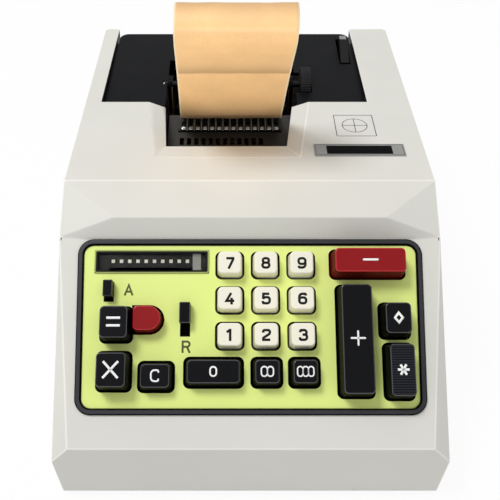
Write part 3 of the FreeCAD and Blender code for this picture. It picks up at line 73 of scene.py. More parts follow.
# Camera and lamps: places in metres, angles in degrees
CAMERA_PLACE = (-0.0096, -0.4366, 0.4213)
CAMERA_TILT = 49.3
SENSOR_WIDTH = 36
LARGE_LAMP_PLACE = (-1.05, -0.2, 2.85)
LARGE_LAMP_SIZE = 0.9
PAPER_LAMP_PLACE = (0, -1.2, 0.13)
PAPER_LAMP_TARGET = (-0.009, -0.015, 0.2)
PAPER_LAMP_ANGLE = 7.2
PAPER_LAMP_BLEND = 0.6
FLOOR_REACH = 8

# Faces of the brow, which keep the housing's plain tone instead of the painted edge highlight: rows in y and
# half width in x
BROW_FOOT, BROW_TOP, BROW_REACH = -75 * MM, -46 * MM, 112 * MM

# Reach of the plate's holes in the key field, in millimetres: half width, lowest and highest edge; within it
# the hole rims get painted shade
HOLES_REACH, HOLES_LOW, HOLES_HIGH = 96.5, -97.5, -5.3

# A face's lean from the key field, as a cosine: from here up it is flat, and from here down it is a side
# Below these limits the bead's sides and the plate's hole rims get painted shade; on keys and sliders the
# rounded edge gets a painted highlight, and key sides below the steep limit get painted shade
BEAD_FLAT, PLATE_FLAT, KEY_FLAT = 0.97, 0.95, 0.96
KEY_STEEP, SLIDER_STEEP = 0.45, 0.3
KEY_GRAIN = 0.004 * MM

# The two letters of the plate and their places in the key field, and how far the digits stand below the middle
LETTERS = (("A", -72.1 * MM, -30.7 * MM), ("R", -37.6 * MM, -64.7 * MM))
DIGIT_DROP = 0.4 * MM

# The indicator's dots: middle of the first, distance to the next, and half a dot's side
DOT_FIRST, DOT_STEP, DOT_HALF = -82.1 * MM, 4.95 * MM, 1.0 * MM

# Along the toothed bar: distance between two holes, and the first of the fingers and of the heads
BAR_STEP = 5.05 * MM
FINGERS, FINGER_FIRST = 13, -42.775 * MM
FINGER_SIZE = (1.4 * MM, 14 * MM, 0.4 * MM)
TEETH, TOOTH_FIRST = 14, -45.3 * MM

# Line of the paper from the supply roll, past the platen and over the curl: y and z in millimetres, and how
# strongly the paper is creased there, which sets its small waves and the painted shade along the fold
PAPER_LINE = (
    (98.6, 77.7, 0), (91.9, 93.0, 0), (85.3, 108.0, 0), (78.8, 118.6, 0), (72.5, 124.2, 0),
    (62.5, 126.6, 0.4), (51.5, 128.6, 0.9), (41.5, 132.2, 0.7), (34.6, 140.4, 0.2), (26.9, 152.0, 0),
    (17.4, 166.2, 0), (8.0, 179.6, 0), (2.6, 187.0, 0), (1.6, 188.4, 1), (0.4, 189.8, 0.9),
    (-5.2, 196.9, 0.35), (-10.4, 203.5, 0.1), (-17.6, 212.2, 0), (-24.1, 221.8, 0), (-25.5, 230.6, 0),
    (-19.1, 236.4, 0.15), (-10.0, 237.9, 0.5), (-1.3, 234.2, 0.8), (4.8, 227.4, 0.8), (6.1, 218.6, 1),
    (2.1, 211.4, 1),
)
PAPER_MIDDLE = -13.8
PAPER_LEAN = 0.036
PAPER_WIDTH = 70.3 * MM


# Properties
def linear(code):
    """A colour written as six hexadecimal digits, as linear red, green and blue."""
    parts = [int(code[k : k + 2], 16) / 255 for k in (0, 2, 4)]
    return tuple(p / 12.92 if p <= 0.04045 else ((p + 0.055) / 1.055) ** 2.4 for p in parts)


def colour(label, code, text):
    tone = {"subtype": "COLOR", "size": 3, "min": 0, "max": 1, "default": linear(code)}
    return FloatVectorProperty(name=label, description=text, **tone)


def length(label, millimetres, text):
    size = {"unit": "LENGTH", "precision": 5, "min": 0, "default": millimetres * MM}
    return FloatProperty(name=label, description=text, **size)


def amount(label, value, text, unit="NONE"):
    return FloatProperty(name=label, description=text, unit=unit, min=0, default=value)


class HousingSettings(PropertyGroup):
    plastic: colour("Plastic", "DFDED7", "Grey-beige plastic of the moulded housing")
    # Paler tone of the rounded corners: a painted highlight along the housing's edges, not a real polish
    shine: colour("Painted edge highlight", "F1F0EA", "Paler polished corners of the housing")
    edge: length("Edge radius", 0.6, "Rounding along the housing's corners")
    grain: length("Grain depth", 0.02, "Depth of the fine moulded grain")
    pan: colour("Base pan", "4A4B4C", "Painted steel of the base pan")
    rubber: colour("Rubber", "1B1B1C", "Black rubber of the feet and the platen")


class FieldSettings(PropertyGroup):
    green: colour("Plate green", "EBFA90", "Lime-green enamel of the keyboard plate")
    bead: colour("Bead", "35363A", "Dark grey bead round the key field")
    legend: colour("Legend", "5A6238", "Olive print of the two letters beside the sliders")
    stroke: length("Legend stroke", 1.25, "Width of a stroke in the two letters")
    # The dark slope round each hole is painted shade
    rim: length("Hole rim", 0.4, "Width of the dark slope round each hole of the plate")
    tray: colour("Tray", "191918", "Dark tray of the digit indicator")
    lip: colour("Tray lip", "A9B46A", "Greenish rounded lip of the indicator's tray")
    # Painted shade: black for the bead's sides, the plate's hole rims, the well walls, the guide plate and the
    # print window's walls and wheels
    shade: colour("Inner black", "08080A", "Black walls of gaps and slots, and what lies under the keys")
    dots: IntProperty(name="Dots", description="Number of dots on the indicator's scale", min=1, default=10)


class KeySettings(PropertyGroup):
    cream: colour("Cream", "F6F2E0", "Plastic of the nine digit keys")
    black: colour("Black", "0A0B0F", "Plastic of the black keys and the sliders")
    crimson: colour("Crimson", "921319", "Plastic of the two red keys")
    white_ink: colour("White marks", "FFFFFF", "Marks on the black and red keys")
    black_ink: colour("Black marks", "040405", "Marks on the cream keys")
    stroke: length("Digit stroke", 1.45, "Width of a stroke in the nine digits")
    # Paler tone for the rounded edges of black keys and sliders: a painted highlight, with some real gloss
    shine: colour("Black painted highlight", "44464A", "Polished edges of the black keys and the sliders")
    ink: length("Mark height", 0.06, "How far the marks stand out of the keys")
    ridge: length("Ridge height", 0.22, "How far the ridges stand out of the ribbed key")
    ridges: IntProperty(name="Ridges", description="Number of ridges across the ribbed key", min=2, default=20)


class PrinterSettings(PropertyGroup):
    cover: colour("Cover", "08090D", "Black plastic of the rear cover")
    paper: colour("Paper", "FBCB90", "Tan paper of the strip and the supply roll")
    sheet: length("Paper thickness", 0.18, "Thickness of the paper strip")
    # Paler cut edges: a painted highlight along the strip's sides
    edge: colour("Paper edge highlight", "FDE6BC", "Pale cut edges of the paper strip")
    wave: length("Paper wave", 1.5, "Height of the small waves along the paper's crease")
    # Own grey-brown, darkened overall: part of its darkness is painted shade from the funnel walls
    plate: colour("Print plate", "3D3A37", "Grey-brown metal of the sloped print plate")
    finger: colour("Paper fingers", "8F8980", "Metal of the thin strips over the toothed bar")
    # Pure white: a painted brightness on the non-metallic bar, in place of light it misses under the paper;
    # the round heads use it as real bright metal
    bar: colour("Tear bar", "FFFFFF", "Bright metal of the toothed bar")
    steel: colour("Steel", "A9ABAD", "Plain steel of rods, shafts and frames")
    brass: colour("Brass", "C9A75A", "Brass of the inlet's pins")


class StageSettings(PropertyGroup):
    lens: FloatProperty(name="Lens", description="Focal length in millimetres", min=1, default=56.52)
    shift: amount("Shift", 0.032, "Sideways shift of the picture, as a share of its width")
    sky: amount("Sky", 0.55, "Strength of the even light from all round")
    lamp: amount("Lamp", 45.5, "Power of the large lamp at the upper left", "POWER")
    spot: amount("Spot", 22, "Power of the narrow lamp on the paper", "POWER")
    floor: amount("Floor white", 0.93, "Share of plain white in what the camera sees of the floor")


class MachineSettings(PropertyGroup):
    housing: PointerProperty(type=HousingSettings)
    field: PointerProperty(type=FieldSettings)
    keys: PointerProperty(type=KeySettings)
    printer: PointerProperty(type=PrinterSettings)
    stage: PointerProperty(type=StageSettings)


SETTINGS = (HousingSettings, FieldSettings, KeySettings, PrinterSettings, StageSettings, MachineSettings)


# Node trees
def overloads(operation):
    """An operator and its reflected form, which each add a Math node."""

    def plain(self, other):
        return self.joined(operation, self, other)

    def reflected(self, other):
        return self.joined(operation, other, self)

    return plain, reflected


class Term:
    """A node's output that can stand in a Python expression."""

    __add__, __radd__ = overloads("ADD")
    __sub__, __rsub__ = overloads("SUBTRACT")
    __mul__, __rmul__ = overloads("MULTIPLY")
    __truediv__, __rtruediv__ = overloads("DIVIDE")

    def __init__(self, board, socket):
        self.board = board
        self.socket = socket

    def joined(self, operation, *values):
        return self.board.node("ShaderNodeMath", {"operation": operation}, dict(enumerate(values)))

    def __abs__(self):
        return self.joined("ABSOLUTE", self)


class Board:
    """A node tree that is built by one method, node."""

    def __init__(self, tree):
        self.tree = tree

    def node(self, kind, settings=None, inputs=None, output=0):
        made = self.tree.nodes.new(kind)
        for name, value in (settings or {}).items():
            setattr(made, name, value)
        for name, value in (inputs or {}).items():
            self.feed(made.inputs[name], value)
        return Term(self, made.outputs[output]) if made.outputs else made

    def feed(self, socket, value):
        if isinstance(value, Term):
            self.tree.links.new(value.socket, socket)
        elif socket.type == "RGBA" and len(value) == 3:
            socket.default_value = (*value, 1.0)
        else:
            socket.default_value = value


class Finish(Board):
    """A procedural material around one Principled shader, on the piece's own object coordinates."""

    def __init__(self, name):
        self.material = bpy.data.materials.new(name)
        self.material.use_nodes = True
        super().__init__(self.material.node_tree)
        self.tree.nodes.clear()
        self.place = self.node("ShaderNodeTexCoord", output="Object")

    def stretched(self, scale):
        return self.node("ShaderNodeMapping", {}, {"Vector": self.place, "Scale": scale})

    def noise(self, scale, detail=2.0, place=None):
        inputs = {"Vector": place or self.place, "Scale": scale, "Detail": detail}
        return self.node("ShaderNodeTexNoise", {}, inputs, "Fac")

    def seen_ray(self):
        """1 for a ray from the camera, from a gloss or through glass, else 0."""
        kinds = ("Is Camera Ray", "Is Glossy Ray", "Is Transmission Ray")
        camera, glossy, through = (self.node("ShaderNodeLightPath", output=kind) for kind in kinds)
        return camera + glossy + through

    def attribute(self, name):
        return self.node("ShaderNodeAttribute", {"attribute_name": name}, {}, "Fac")

    def mix(self, share, first, second):
        return self.node("ShaderNodeMix", {"data_type": "RGBA"}, {0: share, 6: first, 7: second}, 2)

    def clouded(self, mask, tone, dark, pale, high=0.7):
        """A tone that wanders between a darker and a paler one."""
        return self.mix(self.between(mask, 0.3, high), tinted(tone, dark), tinted(tone, pale))

    def flecked(self, base, mask, low, high, share, tone):
        """The base with another tone over it, up to a share of it, where the mask is high."""
        return self.mix(self.between(mask, low, high, 0, share), base, tone)

    def between(self, value, low, high, first=0.0, last=1.0):
        ends = {"Value": value, "From Min": low, "From Max": high, "To Min": first, "To Max": last}
        return self.node("ShaderNodeMapRange", {"clamp": True}, ends)

    def bump(self, height, depth):
        return self.node("ShaderNodeBump", {}, {"Height": height, "Distance": depth, "Strength": 1.0})

    def shade(self, base, roughness, bump=None, **fixed):
        """Ends the material; fixed holds what is the same all over, by the shader's own socket names."""
        inputs = {"Base Color": base, "Roughness": roughness}
        inputs.update({name.replace("_", " "): value for name, value in fixed.items()})
        if bump:
            inputs["Normal"] = bump
        shader = self.node("ShaderNodeBsdfPrincipled", {}, inputs)
        return self.close(shader)

    def grained(self, base, roughness, swing, mask, depth, gloss):
        """Ends a material whose roughness and bump follow one mask."""
        rough = roughness + (mask - 0.5) * swing
        return self.shade(base, rough, self.bump(mask, depth * MM), Specular_IOR_Level=gloss)

    def close(self, shader):
        self.node("ShaderNodeOutputMaterial", {}, {"Surface": shader})
        return self.material


def tinted(tone, factor):
    return tuple(min(1.0, part * factor) for part in tone)


def moulded(name, tone, roughness, grain=0.01 * MM, gloss=0.5, shadow_line_top=None):
    """Moulded plastic: a slow change of tone, a fine grain, and a roughness that wanders a little.

    Below a given height it is much darker: a painted shadow line along the lower edge.
    """
    paint = Finish(name)
    cloud = paint.noise(14, 3)
    speck = paint.noise(2600, 1)
    base = paint.clouded(cloud, tone, 0.97, 1.02)
    base = paint.flecked(base, speck, 0.45, 0.75, 0.12, tinted(tone, 0.88))
    if shadow_line_top:
        # Painted shade: much darker below the given height
        height = paint.node("ShaderNodeSeparateXYZ", {}, {"Vector": paint.place}, "Z")
        base = paint.mix(paint.between(height, shadow_line_top, shadow_line_top + 0.2 * MM, 0.6, 0), base, tinted(tone, 0.3))
    rough = roughness + (paint.noise(60, 3) - 0.5) * 0.12
    return paint.shade(base, rough, paint.bump(speck, grain), Specular_IOR_Level=gloss)


def enamelled(name, tone, roughness):
    """Matt enamel on sheet metal, with the faint orange peel of sprayed paint."""
    paint = Finish(name)
    base = paint.clouded(paint.noise(9, 3), tone, 0.98, 1.01)
    return paint.grained(base, roughness, 0.1, paint.noise(900, 2), 0.01, 0.35)


def brushed(name, tone, roughness, along="x", metallic=1.0):
    """Drawn or rolled metal with fine lines along one axis and a few darker spots."""
    paint = Finish(name)
    stretch = {"x": (0.03, 1, 1), "y": (1, 0.03, 1), "z": (1, 1, 0.03)}[along]
    lines = paint.noise(2400, 2, paint.stretched(stretch))
    spots = paint.noise(180, 3)
    base = paint.clouded(lines, tone, 0.86, 1.06)
    base = paint.flecked(base, spots, 0.62, 0.8, 0.35, tinted(tone, 0.55))
    rough = roughness + (lines - 0.5) * 0.2
    return paint.shade(base, rough, paint.bump(lines, 0.008 * MM), Metallic=metallic)


def rubbery(name, tone):
    """Dusty black rubber."""
    paint = Finish(name)
    dust = paint.noise(500, 4)
    base = paint.flecked(tone, dust, 0.5, 0.8, 0.5, tinted(tone, 2.2))
    return paint.grained(base, 0.75, 0.2, dust, 0.03, 0.3)


def printed(name, tone):
    """Thick ink of a mark or a letter."""
    paint = Finish(name)
    patch = paint.noise(1500, 2)
    base = paint.clouded(patch, tone, 0.93, 1)
    return paint.grained(base, 0.5, 0.2, patch, 0.01, 0.3)


def clear_plastic(name):
    """Thin clear window, smeared here and there."""
    paint = Finish(name)
    rough = paint.between(paint.noise(90, 3), 0.3, 0.8, 0.02, 0.12)
    return paint.shade((0.97, 0.98, 0.97), rough, Transmission_Weight=1.0, IOR=1.02, Specular_IOR_Level=0.3)


def kraft_paper(name, tone, edge):
    """Tan paper: long fibres, small flecks, painted shade along the fold and a painted highlight along the
    side edges.
    """
    paint = Finish(name)
    fibres = paint.noise(900, 4, paint.stretched((1, 0.25, 0.25)))
    cloud = paint.noise(35, 4)
    flecks = paint.noise(1400, 1)
    base = paint.clouded(cloud, tone, 0.9, 1.05, 0.75)
    base = paint.flecked(base, fibres, 0.5, 0.75, 0.3, tinted(tone, 0.8))
    base = paint.flecked(base, flecks, 0.68, 0.76, 0.5, tinted(tone, 0.6))
    # Painted shade: darker where the crease attribute is high
    base = paint.mix(paint.attribute("crease"), base, tinted(tone, 0.58))
    # Painted highlight: paler at the strip's side edges
    base = paint.mix(paint.between(paint.attribute("side"), 0.97, 0.985), base, edge)
    height = fibres * 0.6 + cloud * 0.4
    return paint.shade(base, 0.5, paint.bump(height, 0.08 * MM), Specular_IOR_Level=0.5)


# Shapes
def placed(name, mesh):
    piece = bpy.data.objects.new(name, mesh)
    bpy.context.scene.collection.objects.link(piece)
    return piece


def meshed(name, form):
    """Ends a bmesh and keeps its shape as a mesh."""
    mesh = bpy.data.meshes.new(name)
    form.to_mesh(mesh)
    form.free()
    return mesh


def shaped(make, sizes, scale, place, narrow=None, tilt=0.0):
    """A basic shape as a bmesh: scaled, narrowed at one end, tilted about x and moved, in that order.

    narrow holds an axis, the sign of the end on it, and the scale there.
    """
    form = bmesh.new()
    make(form, **sizes)
    bmesh.ops.scale(form, vec=scale, verts=form.verts)
    if narrow:
        axis, sign, share = narrow
        end = [v for v in form.verts if v.co[axis] * sign > 0]
        bmesh.ops.scale(form, vec=share, verts=end)
    if tilt:
        bmesh.ops.rotate(form, matrix=Matrix.Rotation(tilt, 3, "X"), verts=form.verts)
    bmesh.ops.translate(form, vec=Vector(place), verts=form.verts)
    return form


def ball(radius, scale, place):
    """A smooth rounded head."""
    sizes = {"u_segments": 20, "v_segments": 12, "radius": radius}
    mesh = meshed("Ball", shaped(bmesh.ops.create_uvsphere, sizes, scale, place))
    mesh.shade_smooth()
    return mesh


def present(piece, like, finish, *replaced):
    """Gives a piece its finish, the body of the node that it is like, and the nodes that it stands for."""
    materials = piece.data.materials
    if materials:
        materials[0] = finish
    else:
        materials.append(finish)
    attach(piece, BODY_OF[like])
    if replaced:
        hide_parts(*replaced)
    return piece


def retoned(piece, finish, picks):
    """Gives the faces that a test picks, from their middle and their normal, a finish of their own."""
    piece.data.materials.append(finish)
    number = len(piece.data.materials) - 1
    for face in piece.data.polygons:
        if picks(face.center, face.normal):
            face.material_index = number


def dress(finish, *nodes):
    """Puts a finish on nodes that are shown as they are."""
    for node in nodes:
        slots = NODES[node].material_slots
        for slot in slots:
            slot.link = "OBJECT"
            slot.material = finish
        if not slots:
            NODES[node].data.materials.append(finish)


def flattened(piece):
    """Turns a piece with modifiers into a plain mesh and drops the modifiers."""
    depsgraph = bpy.context.evaluated_depsgraph_get()
    mesh = bpy.data.meshes.new_from_object(piece.evaluated_get(depsgraph), depsgraph=depsgraph)
    piece.modifiers.clear()
    piece.data = mesh
    return piece


def smoothed(mesh, crease):
    """Smooth shading, with hard corners from the crease angle up."""
    mesh.shade_smooth()
    mesh.set_sharp_from_angle(angle=radians(crease))


def refined(
    name, node, edge=0.0, corner=30, steps=2, crease=40, edge_slot=0, least=0.0, join=0.002 * MM, clamp=True
):
    """A copy of a node as one closed mesh, with its hard corners rounded where an edge radius is given.

    Points nearer than join become one. Edges shorter than least, or of a face too narrow for the radius, stay
    as they are. The rounded faces take the material number edge_slot. Flat faces keep a flat shading.
    """
    form = bmesh.new()
    form.from_mesh(NODES[node].data)
    bmesh.ops.remove_doubles(form, verts=form.verts, dist=join)
    bmesh.ops.dissolve_limit(form, angle_limit=radians(0.3), verts=form.verts, edges=form.edges)
    if edge:
        limit = radians(corner)

        def roomy(e):
            return all(face.calc_area() > 2 * edge * e.calc_length() for face in e.link_faces)

        plain = [e for e in form.edges if len(e.link_faces) == 2 and e.calc_length() > least]
        hard = [e for e in plain if e.calc_face_angle() > limit and roomy(e)]
        sizes = {"offset": edge, "segments": steps, "profile": 0.5, "affect": "EDGES", "clamp_overlap": clamp}
        for face in bmesh.ops.bevel(form, geom=hard, **sizes)["faces"]:
            face.material_index = edge_slot
        if not clamp:
            bmesh.ops.dissolve_degenerate(form, dist=0.1 * MM, edges=form.edges)
    piece = placed(name, meshed(name, form))
    smoothed(piece.data, crease)
    weighted = piece.modifiers.new("Even shading", "WEIGHTED_NORMAL")
    weighted.keep_sharp = True
    weighted.weight = 80
    return flattened(piece)


def skin(name, node, finish, edge=0.0, **sizes):
    """A refined copy of a node that is shown in its place."""
    return present(refined(name, node, edge, **sizes), node, finish, node)


class Growth(Board):
    """A Geometry Nodes tree with named inputs; grow runs it on a mesh and keeps the result as a plain mesh."""

    def __init__(self, name, inputs):
        group = bpy.data.node_groups.new(name, "GeometryNodeTree")
        super().__init__(group)
        sides = group.interface
        sides.new_socket("Geometry", in_out="INPUT", socket_type="NodeSocketGeometry")
        self.names = {}
        for label, kind in {**inputs, "Finish": "Material"}.items():
            socket = sides.new_socket(label, in_out="INPUT", socket_type=f"NodeSocket{kind}")
            self.names[label] = socket.identifier
        sides.new_socket("Geometry", in_out="OUTPUT", socket_type="NodeSocketGeometry")
        self.given = group.nodes.new("NodeGroupInput")

    def input(self, label):
        return Term(self, self.given.outputs[label])

    def end(self, geometry):
        """Closes the tree: copies made real, finish set."""
        real = self.node("GeometryNodeRealizeInstances", {}, {"Geometry": geometry})
        coated = self.node("GeometryNodeSetMaterial", {}, {"Geometry": real, "Material": self.input("Finish")})
        self.node("NodeGroupOutput", {}, {"Geometry": coated})
        return self

    def grow(self, name, mesh, values):
        piece = placed(name, mesh)
        modifier = piece.modifiers.new(name, "NODES")
        modifier.node_group = self.tree
        for label, value in values.items():
            modifier[self.names[label]] = value
        return flattened(piece)


def stroke_tree():
    """Sweeps a flat band along the edges of a drawing; the radius attribute widens it at its corners."""
    tree = Growth("Strokes", {"Width": "Float", "Height": "Float"})
    node, given = tree.node, tree.input
    line = node("GeometryNodeMeshToCurve", {}, {"Mesh": given("Geometry")})
    line = node("GeometryNodeSetCurveNormal", {"mode": "Z_UP"}, {"Curve": line})
    sizes = {"Width": given("Width"), "Height": given("Height")}
    band = node("GeometryNodeCurvePrimitiveQuadrilateral", {"mode": "RECTANGLE"}, sizes)
    wide = node("GeometryNodeInputRadius")
    swept = {"Curve": line, "Profile Curve": band, "Scale": wide, "Fill Caps": True}
    return tree.end(node("GeometryNodeCurveToMesh", {}, swept))


def row_tree():
    """Repeats a shape along a straight line."""
    tree = Growth("Row", {"Count": "Int", "Step": "Vector"})
    node, given = tree.node, tree.input
    places = {"Count": given("Count"), "Offset": given("Step")}
    line = node("GeometryNodeMeshLine", {"mode": "OFFSET", "count_mode": "TOTAL"}, places)
    copies = {"Points": line, "Instance": given("Geometry")}
    return tree.end(node("GeometryNodeInstanceOnPoints", {}, copies))


def sheet_tree():
    """Sweeps a sheet along a line of points, with small waves where its crease attribute is high."""
    tree = Growth("Sheet", {"Width": "Float", "Along": "Int", "Across": "Int", "Wave": "Float"})
    node, given = tree.node, tree.input
    line = node("GeometryNodeMeshToCurve", {}, {"Mesh": given("Geometry")})
    line = node("GeometryNodeCurveSplineType", {"spline_type": "CATMULL_ROM"}, {"Curve": line})
    evenly = {"Curve": line, "Count": given("Along")}
    line = node("GeometryNodeResampleCurve", {"mode": "COUNT"}, evenly)
    line = node("GeometryNodeSetCurveNormal", {"mode": "FREE"}, {"Curve": line, "Normal": (1, 0, 0)})
    ends = [node("ShaderNodeCombineXYZ", {}, {"X": given("Width") * side}) for side in (-0.5, 0.5)]
    width = node("GeometryNodeCurvePrimitiveLine", {"mode": "POINTS"}, {"Start": ends[0], "End": ends[1]})
    spread = {"Curve": width, "Count": given("Across")}
    width = node("GeometryNodeResampleCurve", {"mode": "COUNT"}, spread)
    across = node("ShaderNodeSeparateXYZ", {}, {"Vector": node("GeometryNodeInputPosition")})
    side = abs(across) / given("Width") * 2
    named = {"Geometry": width, "Name": "side", "Value": side}
    width = node("GeometryNodeStoreNamedAttribute", {"data_type": "FLOAT", "domain": "POINT"}, named)
    sheet = node("GeometryNodeCurveToMesh", {}, {"Curve": line, "Profile Curve": width})
    crease = node("GeometryNodeInputNamedAttribute", {"data_type": "FLOAT"}, {"Name": "crease"})
    ripple = {"Vector": node("GeometryNodeInputPosition"), "Scale": 55, "Detail": 2}
    wave = node("ShaderNodeTexNoise", {"noise_dimensions": "3D"}, ripple)
    lift = (wave - 0.5) * (crease * 0.85 + 0.15) * given("Wave")
    outward = node("GeometryNodeInputNormal")
    shift = node("ShaderNodeVectorMath", {"operation": "SCALE"}, {"Vector": outward, "Scale": lift})
    return tree.end(node("GeometryNodeSetPosition", {}, {"Geometry": sheet, "Offset": shift}))


TREES = {}


def grown(builder, name, mesh, **values):
    """Runs a tree on a mesh; each tree is built once, when it is first needed."""
    if builder.__name__ not in TREES:
        TREES[builder.__name__] = builder()
    return TREES[builder.__name__].grow(name, mesh, values)


def row(name, mesh, count, step, finish, like, place=None):
    """Repeats a shape along a line, as a piece that moves with the node that it is like."""
    piece = grown(row_tree, name, mesh, Count=count, Step=step, Finish=finish)
    if place:
        piece.data.transform(place)
    return present(piece, like, finish)


# Marks, drawn in millimetres round the middle of a key: each stroke has its points, the bend of its corners,
# and whether it is closed; a point may bring a bend of its own
def stroke(*points, bend=0, closed=False):
    return (points, bend, closed)


def loop(x0, x1, y0, y1, bend):
    return stroke((x0, y0), (x1, y0), (x1, y1), (x0, y1), bend=bend, closed=True)


def flipped(points, bend, closed):
    return stroke(*[(-p[0], -p[1], *p[2:]) for p in points], bend=bend, closed=closed)


def compass(degrees):
    return cos(radians(degrees)), sin(radians(degrees))


SIX = [
    loop(-1.98, 1.98, -2.78, 0.62, 1.45),
    stroke((-1.98, -1.0), (-1.98, 2.78, 1.9), (1.75, 2.78, 1.3), (1.9, 1.7), bend=1.3),
]
TWO = ((-1.85, 1.3), (-1.85, 2.78), (1.9, 2.78), (1.9, 0.75), (-1.9, -1.7, 0.6), (-1.9, -2.8, 0), (2.1, -2.8))
FIVE = (
    (1.85, 2.78), (-1.6, 2.78, 0), (-1.8, 0.1, 0.2), (-0.6, 0.75, 0.8),
    (1.98, 0.75), (1.98, -2.78), (-1.98, -2.78), (-1.98, -1.45),
)
CLEAR = ((2.1, 1.55), (2.1, 3.1), (-2.1, 3.1), (-2.1, -3.1), (2.1, -3.1), (2.1, -1.55))
MARKS = {
    "0": [loop(-1.78, 1.78, -2.63, 2.63, 1.76)],
    "00": [loop(x0, x1, -2.75, 2.75, 1.7) for x0, x1 in ((-3.45, 0), (0, 3.45))],
    "000": [loop(x0, x1, -2.75, 2.75, 1.5) for x0, x1 in ((-4.65, -1.55), (-1.55, 1.55), (1.55, 4.65))],
    "1": [stroke((-1.75, 1.6), (0.3, 2.85)), stroke((0.3, 3.5), (0.3, -3.5))],
    "2": [stroke(*TWO, bend=1.4)],
    "3": [
        stroke((-1.75, 1.5), (-1.75, 2.78), (1.75, 2.78), (1.75, 0.2), (-0.5, 0.2), bend=1.25),
        stroke((-0.5, 0.2), (1.98, 0.2), (1.98, -2.78), (-1.98, -2.78), (-1.98, -1.35), bend=1.4),
    ],
    "4": [stroke((0.85, 3.3), (-1.85, -1.35), (2.65, -1.35)), stroke((1.1, 0.45), (1.1, -3.5))],
    "5": [stroke(*FIVE, bend=1.4)],
    "6": SIX,
    "7": [stroke((-2.0, 2.78), (2.0, 2.78), (2.0, 2.1, 0.4), (-0.7, -3.5))],
    "8": [loop(-1.75, 1.75, 0.15, 2.78, 1.25), loop(-1.98, 1.98, -2.78, 0.15, 1.4)],
    "9": [flipped(*part) for part in SIX],
    "clear": [stroke(*CLEAR, bend=2.0)],
    "equals": [stroke((-3.95, y), (3.95, y)) for y in (2.2, -2.2)],
    "times": [stroke((-4.3, y), (4.3, -y)) for y in (4.7, -4.7)],
    "minus": [stroke((-4.65, 0), (4.65, 0))],
    "plus": [stroke((-4.4, 0), (4.4, 0)), stroke((0, -4.4), (0, 4.4))],
    "subtotal": [stroke((-2.2, 0), (0, 2.8), (2.2, 0), (0, -2.8), closed=True)],
    "total": [stroke((-3.3 * c, -3.3 * s), (3.3 * c, 3.3 * s)) for c, s in map(compass, (0, 60, 120))],
    "square": [loop(-13.2, 13.2, -13.2, 13.2, 0.6)],
    "ring": [loop(-8.5, 8.5, -8.5, 8.5, 8.49)],
    "cross": [stroke((-8.3, 0), (8.3, 0)), stroke((0, -8.3), (0, 8.3))],
    "frame": [loop(-28.6, 28.6, -5.9, 5.9, 0.5)],
    "A": [stroke((-2.35, -3.5), (0, 2.7), (2.35, -3.5)), stroke((-1.55, -1.2), (1.55, -1.2))],
    "R": [
        stroke((-2.0, -3.5), (-2.0, 3.15, 0), (2.0, 3.15), (2.0, 0.1), (-2.0, 0.1), bend=1.5),
        stroke((0.5, 0.1), (2.2, -3.5)),
    ],
}
# Widths of the strokes on the black and red keys and on the deck plates
STROKES = {
    "0": 0.95, "00": 0.85, "000": 0.8, "equals": 1.4, "times": 1.35, "minus": 1.3, "plus": 1.1,
    "subtotal": 1.3, "total": 1.4, "clear": 0.98, "square": 0.5, "ring": 0.5, "cross": 0.5, "frame": 0.35,
}
ROUND_ENDED = ("minus", "plus", "clear")
SHARPEST = 2.3
BEND_STEPS = 5


def rounded_path(points, radius, closed):
    """A line through a stroke's points, with its corners rounded."""
    path = []
    count = len(points)
    for number, point in enumerate(points):
        here = Vector(point[:2])
        bend = point[2] if len(point) > 2 else radius
        if not closed and number in (0, count - 1) or bend == 0:
            path.append(here)
            continue
        before, after = Vector(points[number - 1][:2]), Vector(points[(number + 1) % count][:2])
        back, on = before - here, after - here
        half = back.angle(on) / 2
        cut = min(bend / tan(half), back.length * 0.499, on.length * 0.499)
        bend = cut * tan(half)
        start, end = here + back.normalized() * cut, here + on.normalized() * cut
        centre = here + (back.normalized() + on.normalized()).normalized() * (bend / sin(half))
        first, last = start - centre, end - centre
        turn = first.angle(last)
        for step in range(BEND_STEPS + 1):
            t = step / BEND_STEPS
            mixed = first * sin((1 - t) * turn) + last * sin(t * turn)
            path.append(centre + mixed / sin(turn))
    return path


def rounded_ends(path, spread, reach):
    """Adds half-round ends to a stroke by narrowing it over its last stretch."""
    for _ in range(2):
        path, spread = path[::-1], spread[::-1]
        way = (path[1] - path[0]).normalized()
        inner = path[0] + way * reach
        steps = [compass(a) for a in (8, 30, 50, 70, 90)]
        path = [inner - way * (reach * c) for c, s in steps] + path[1:]
        spread = [s for c, s in steps] + spread[1:]
    return path, spread


def thread(form, places, closed=False, **marks):
    """Adds a chain of edges through places to a bmesh, with a float attribute for each list of marks."""
    floats = form.verts.layers.float
    layers = {label: floats.get(label) or floats.new(label) for label in marks}
    dots = [form.verts.new(place) for place in places]
    for label, values in marks.items():
        for dot, value in zip(dots, values):
            dot[layers[label]] = value
    for pair in zip(dots, dots[1:] + (dots[:1] if closed else [])):
        form.edges.new(pair)


def drawing(name, label, width):
    """A mark's strokes as a mesh of edges, with the radius that each point needs."""
    form = bmesh.new()
    for points, bend, closed in MARKS[label]:
        path = rounded_path(points, bend, closed)
        count = len(path)
        spread = [1.0] * count
        for number in range(count) if closed else range(1, count - 1):
            back, on = path[number] - path[number - 1], path[(number + 1) % count] - path[number]
            spread[number] = min(1 / cos(back.angle(on) / 2), SHARPEST)
        if label in ROUND_ENDED and not closed:
            path, spread = rounded_ends(path, spread, width / 2)
        thread(form, [(p.x * MM, p.y * MM, 0) for p in path], closed, radius=spread)
    return meshed(name, form)


def mark(name, label, width, finish, place, height, like):
    """A raised mark, swept flat, turned to its place, and moved with the node that it is like."""
    flat = drawing(name, label, width)
    piece = grown(stroke_tree, name, flat, Width=width * MM, Height=height, Finish=finish)
    piece.data.transform(place)
    return present(piece, like, finish)


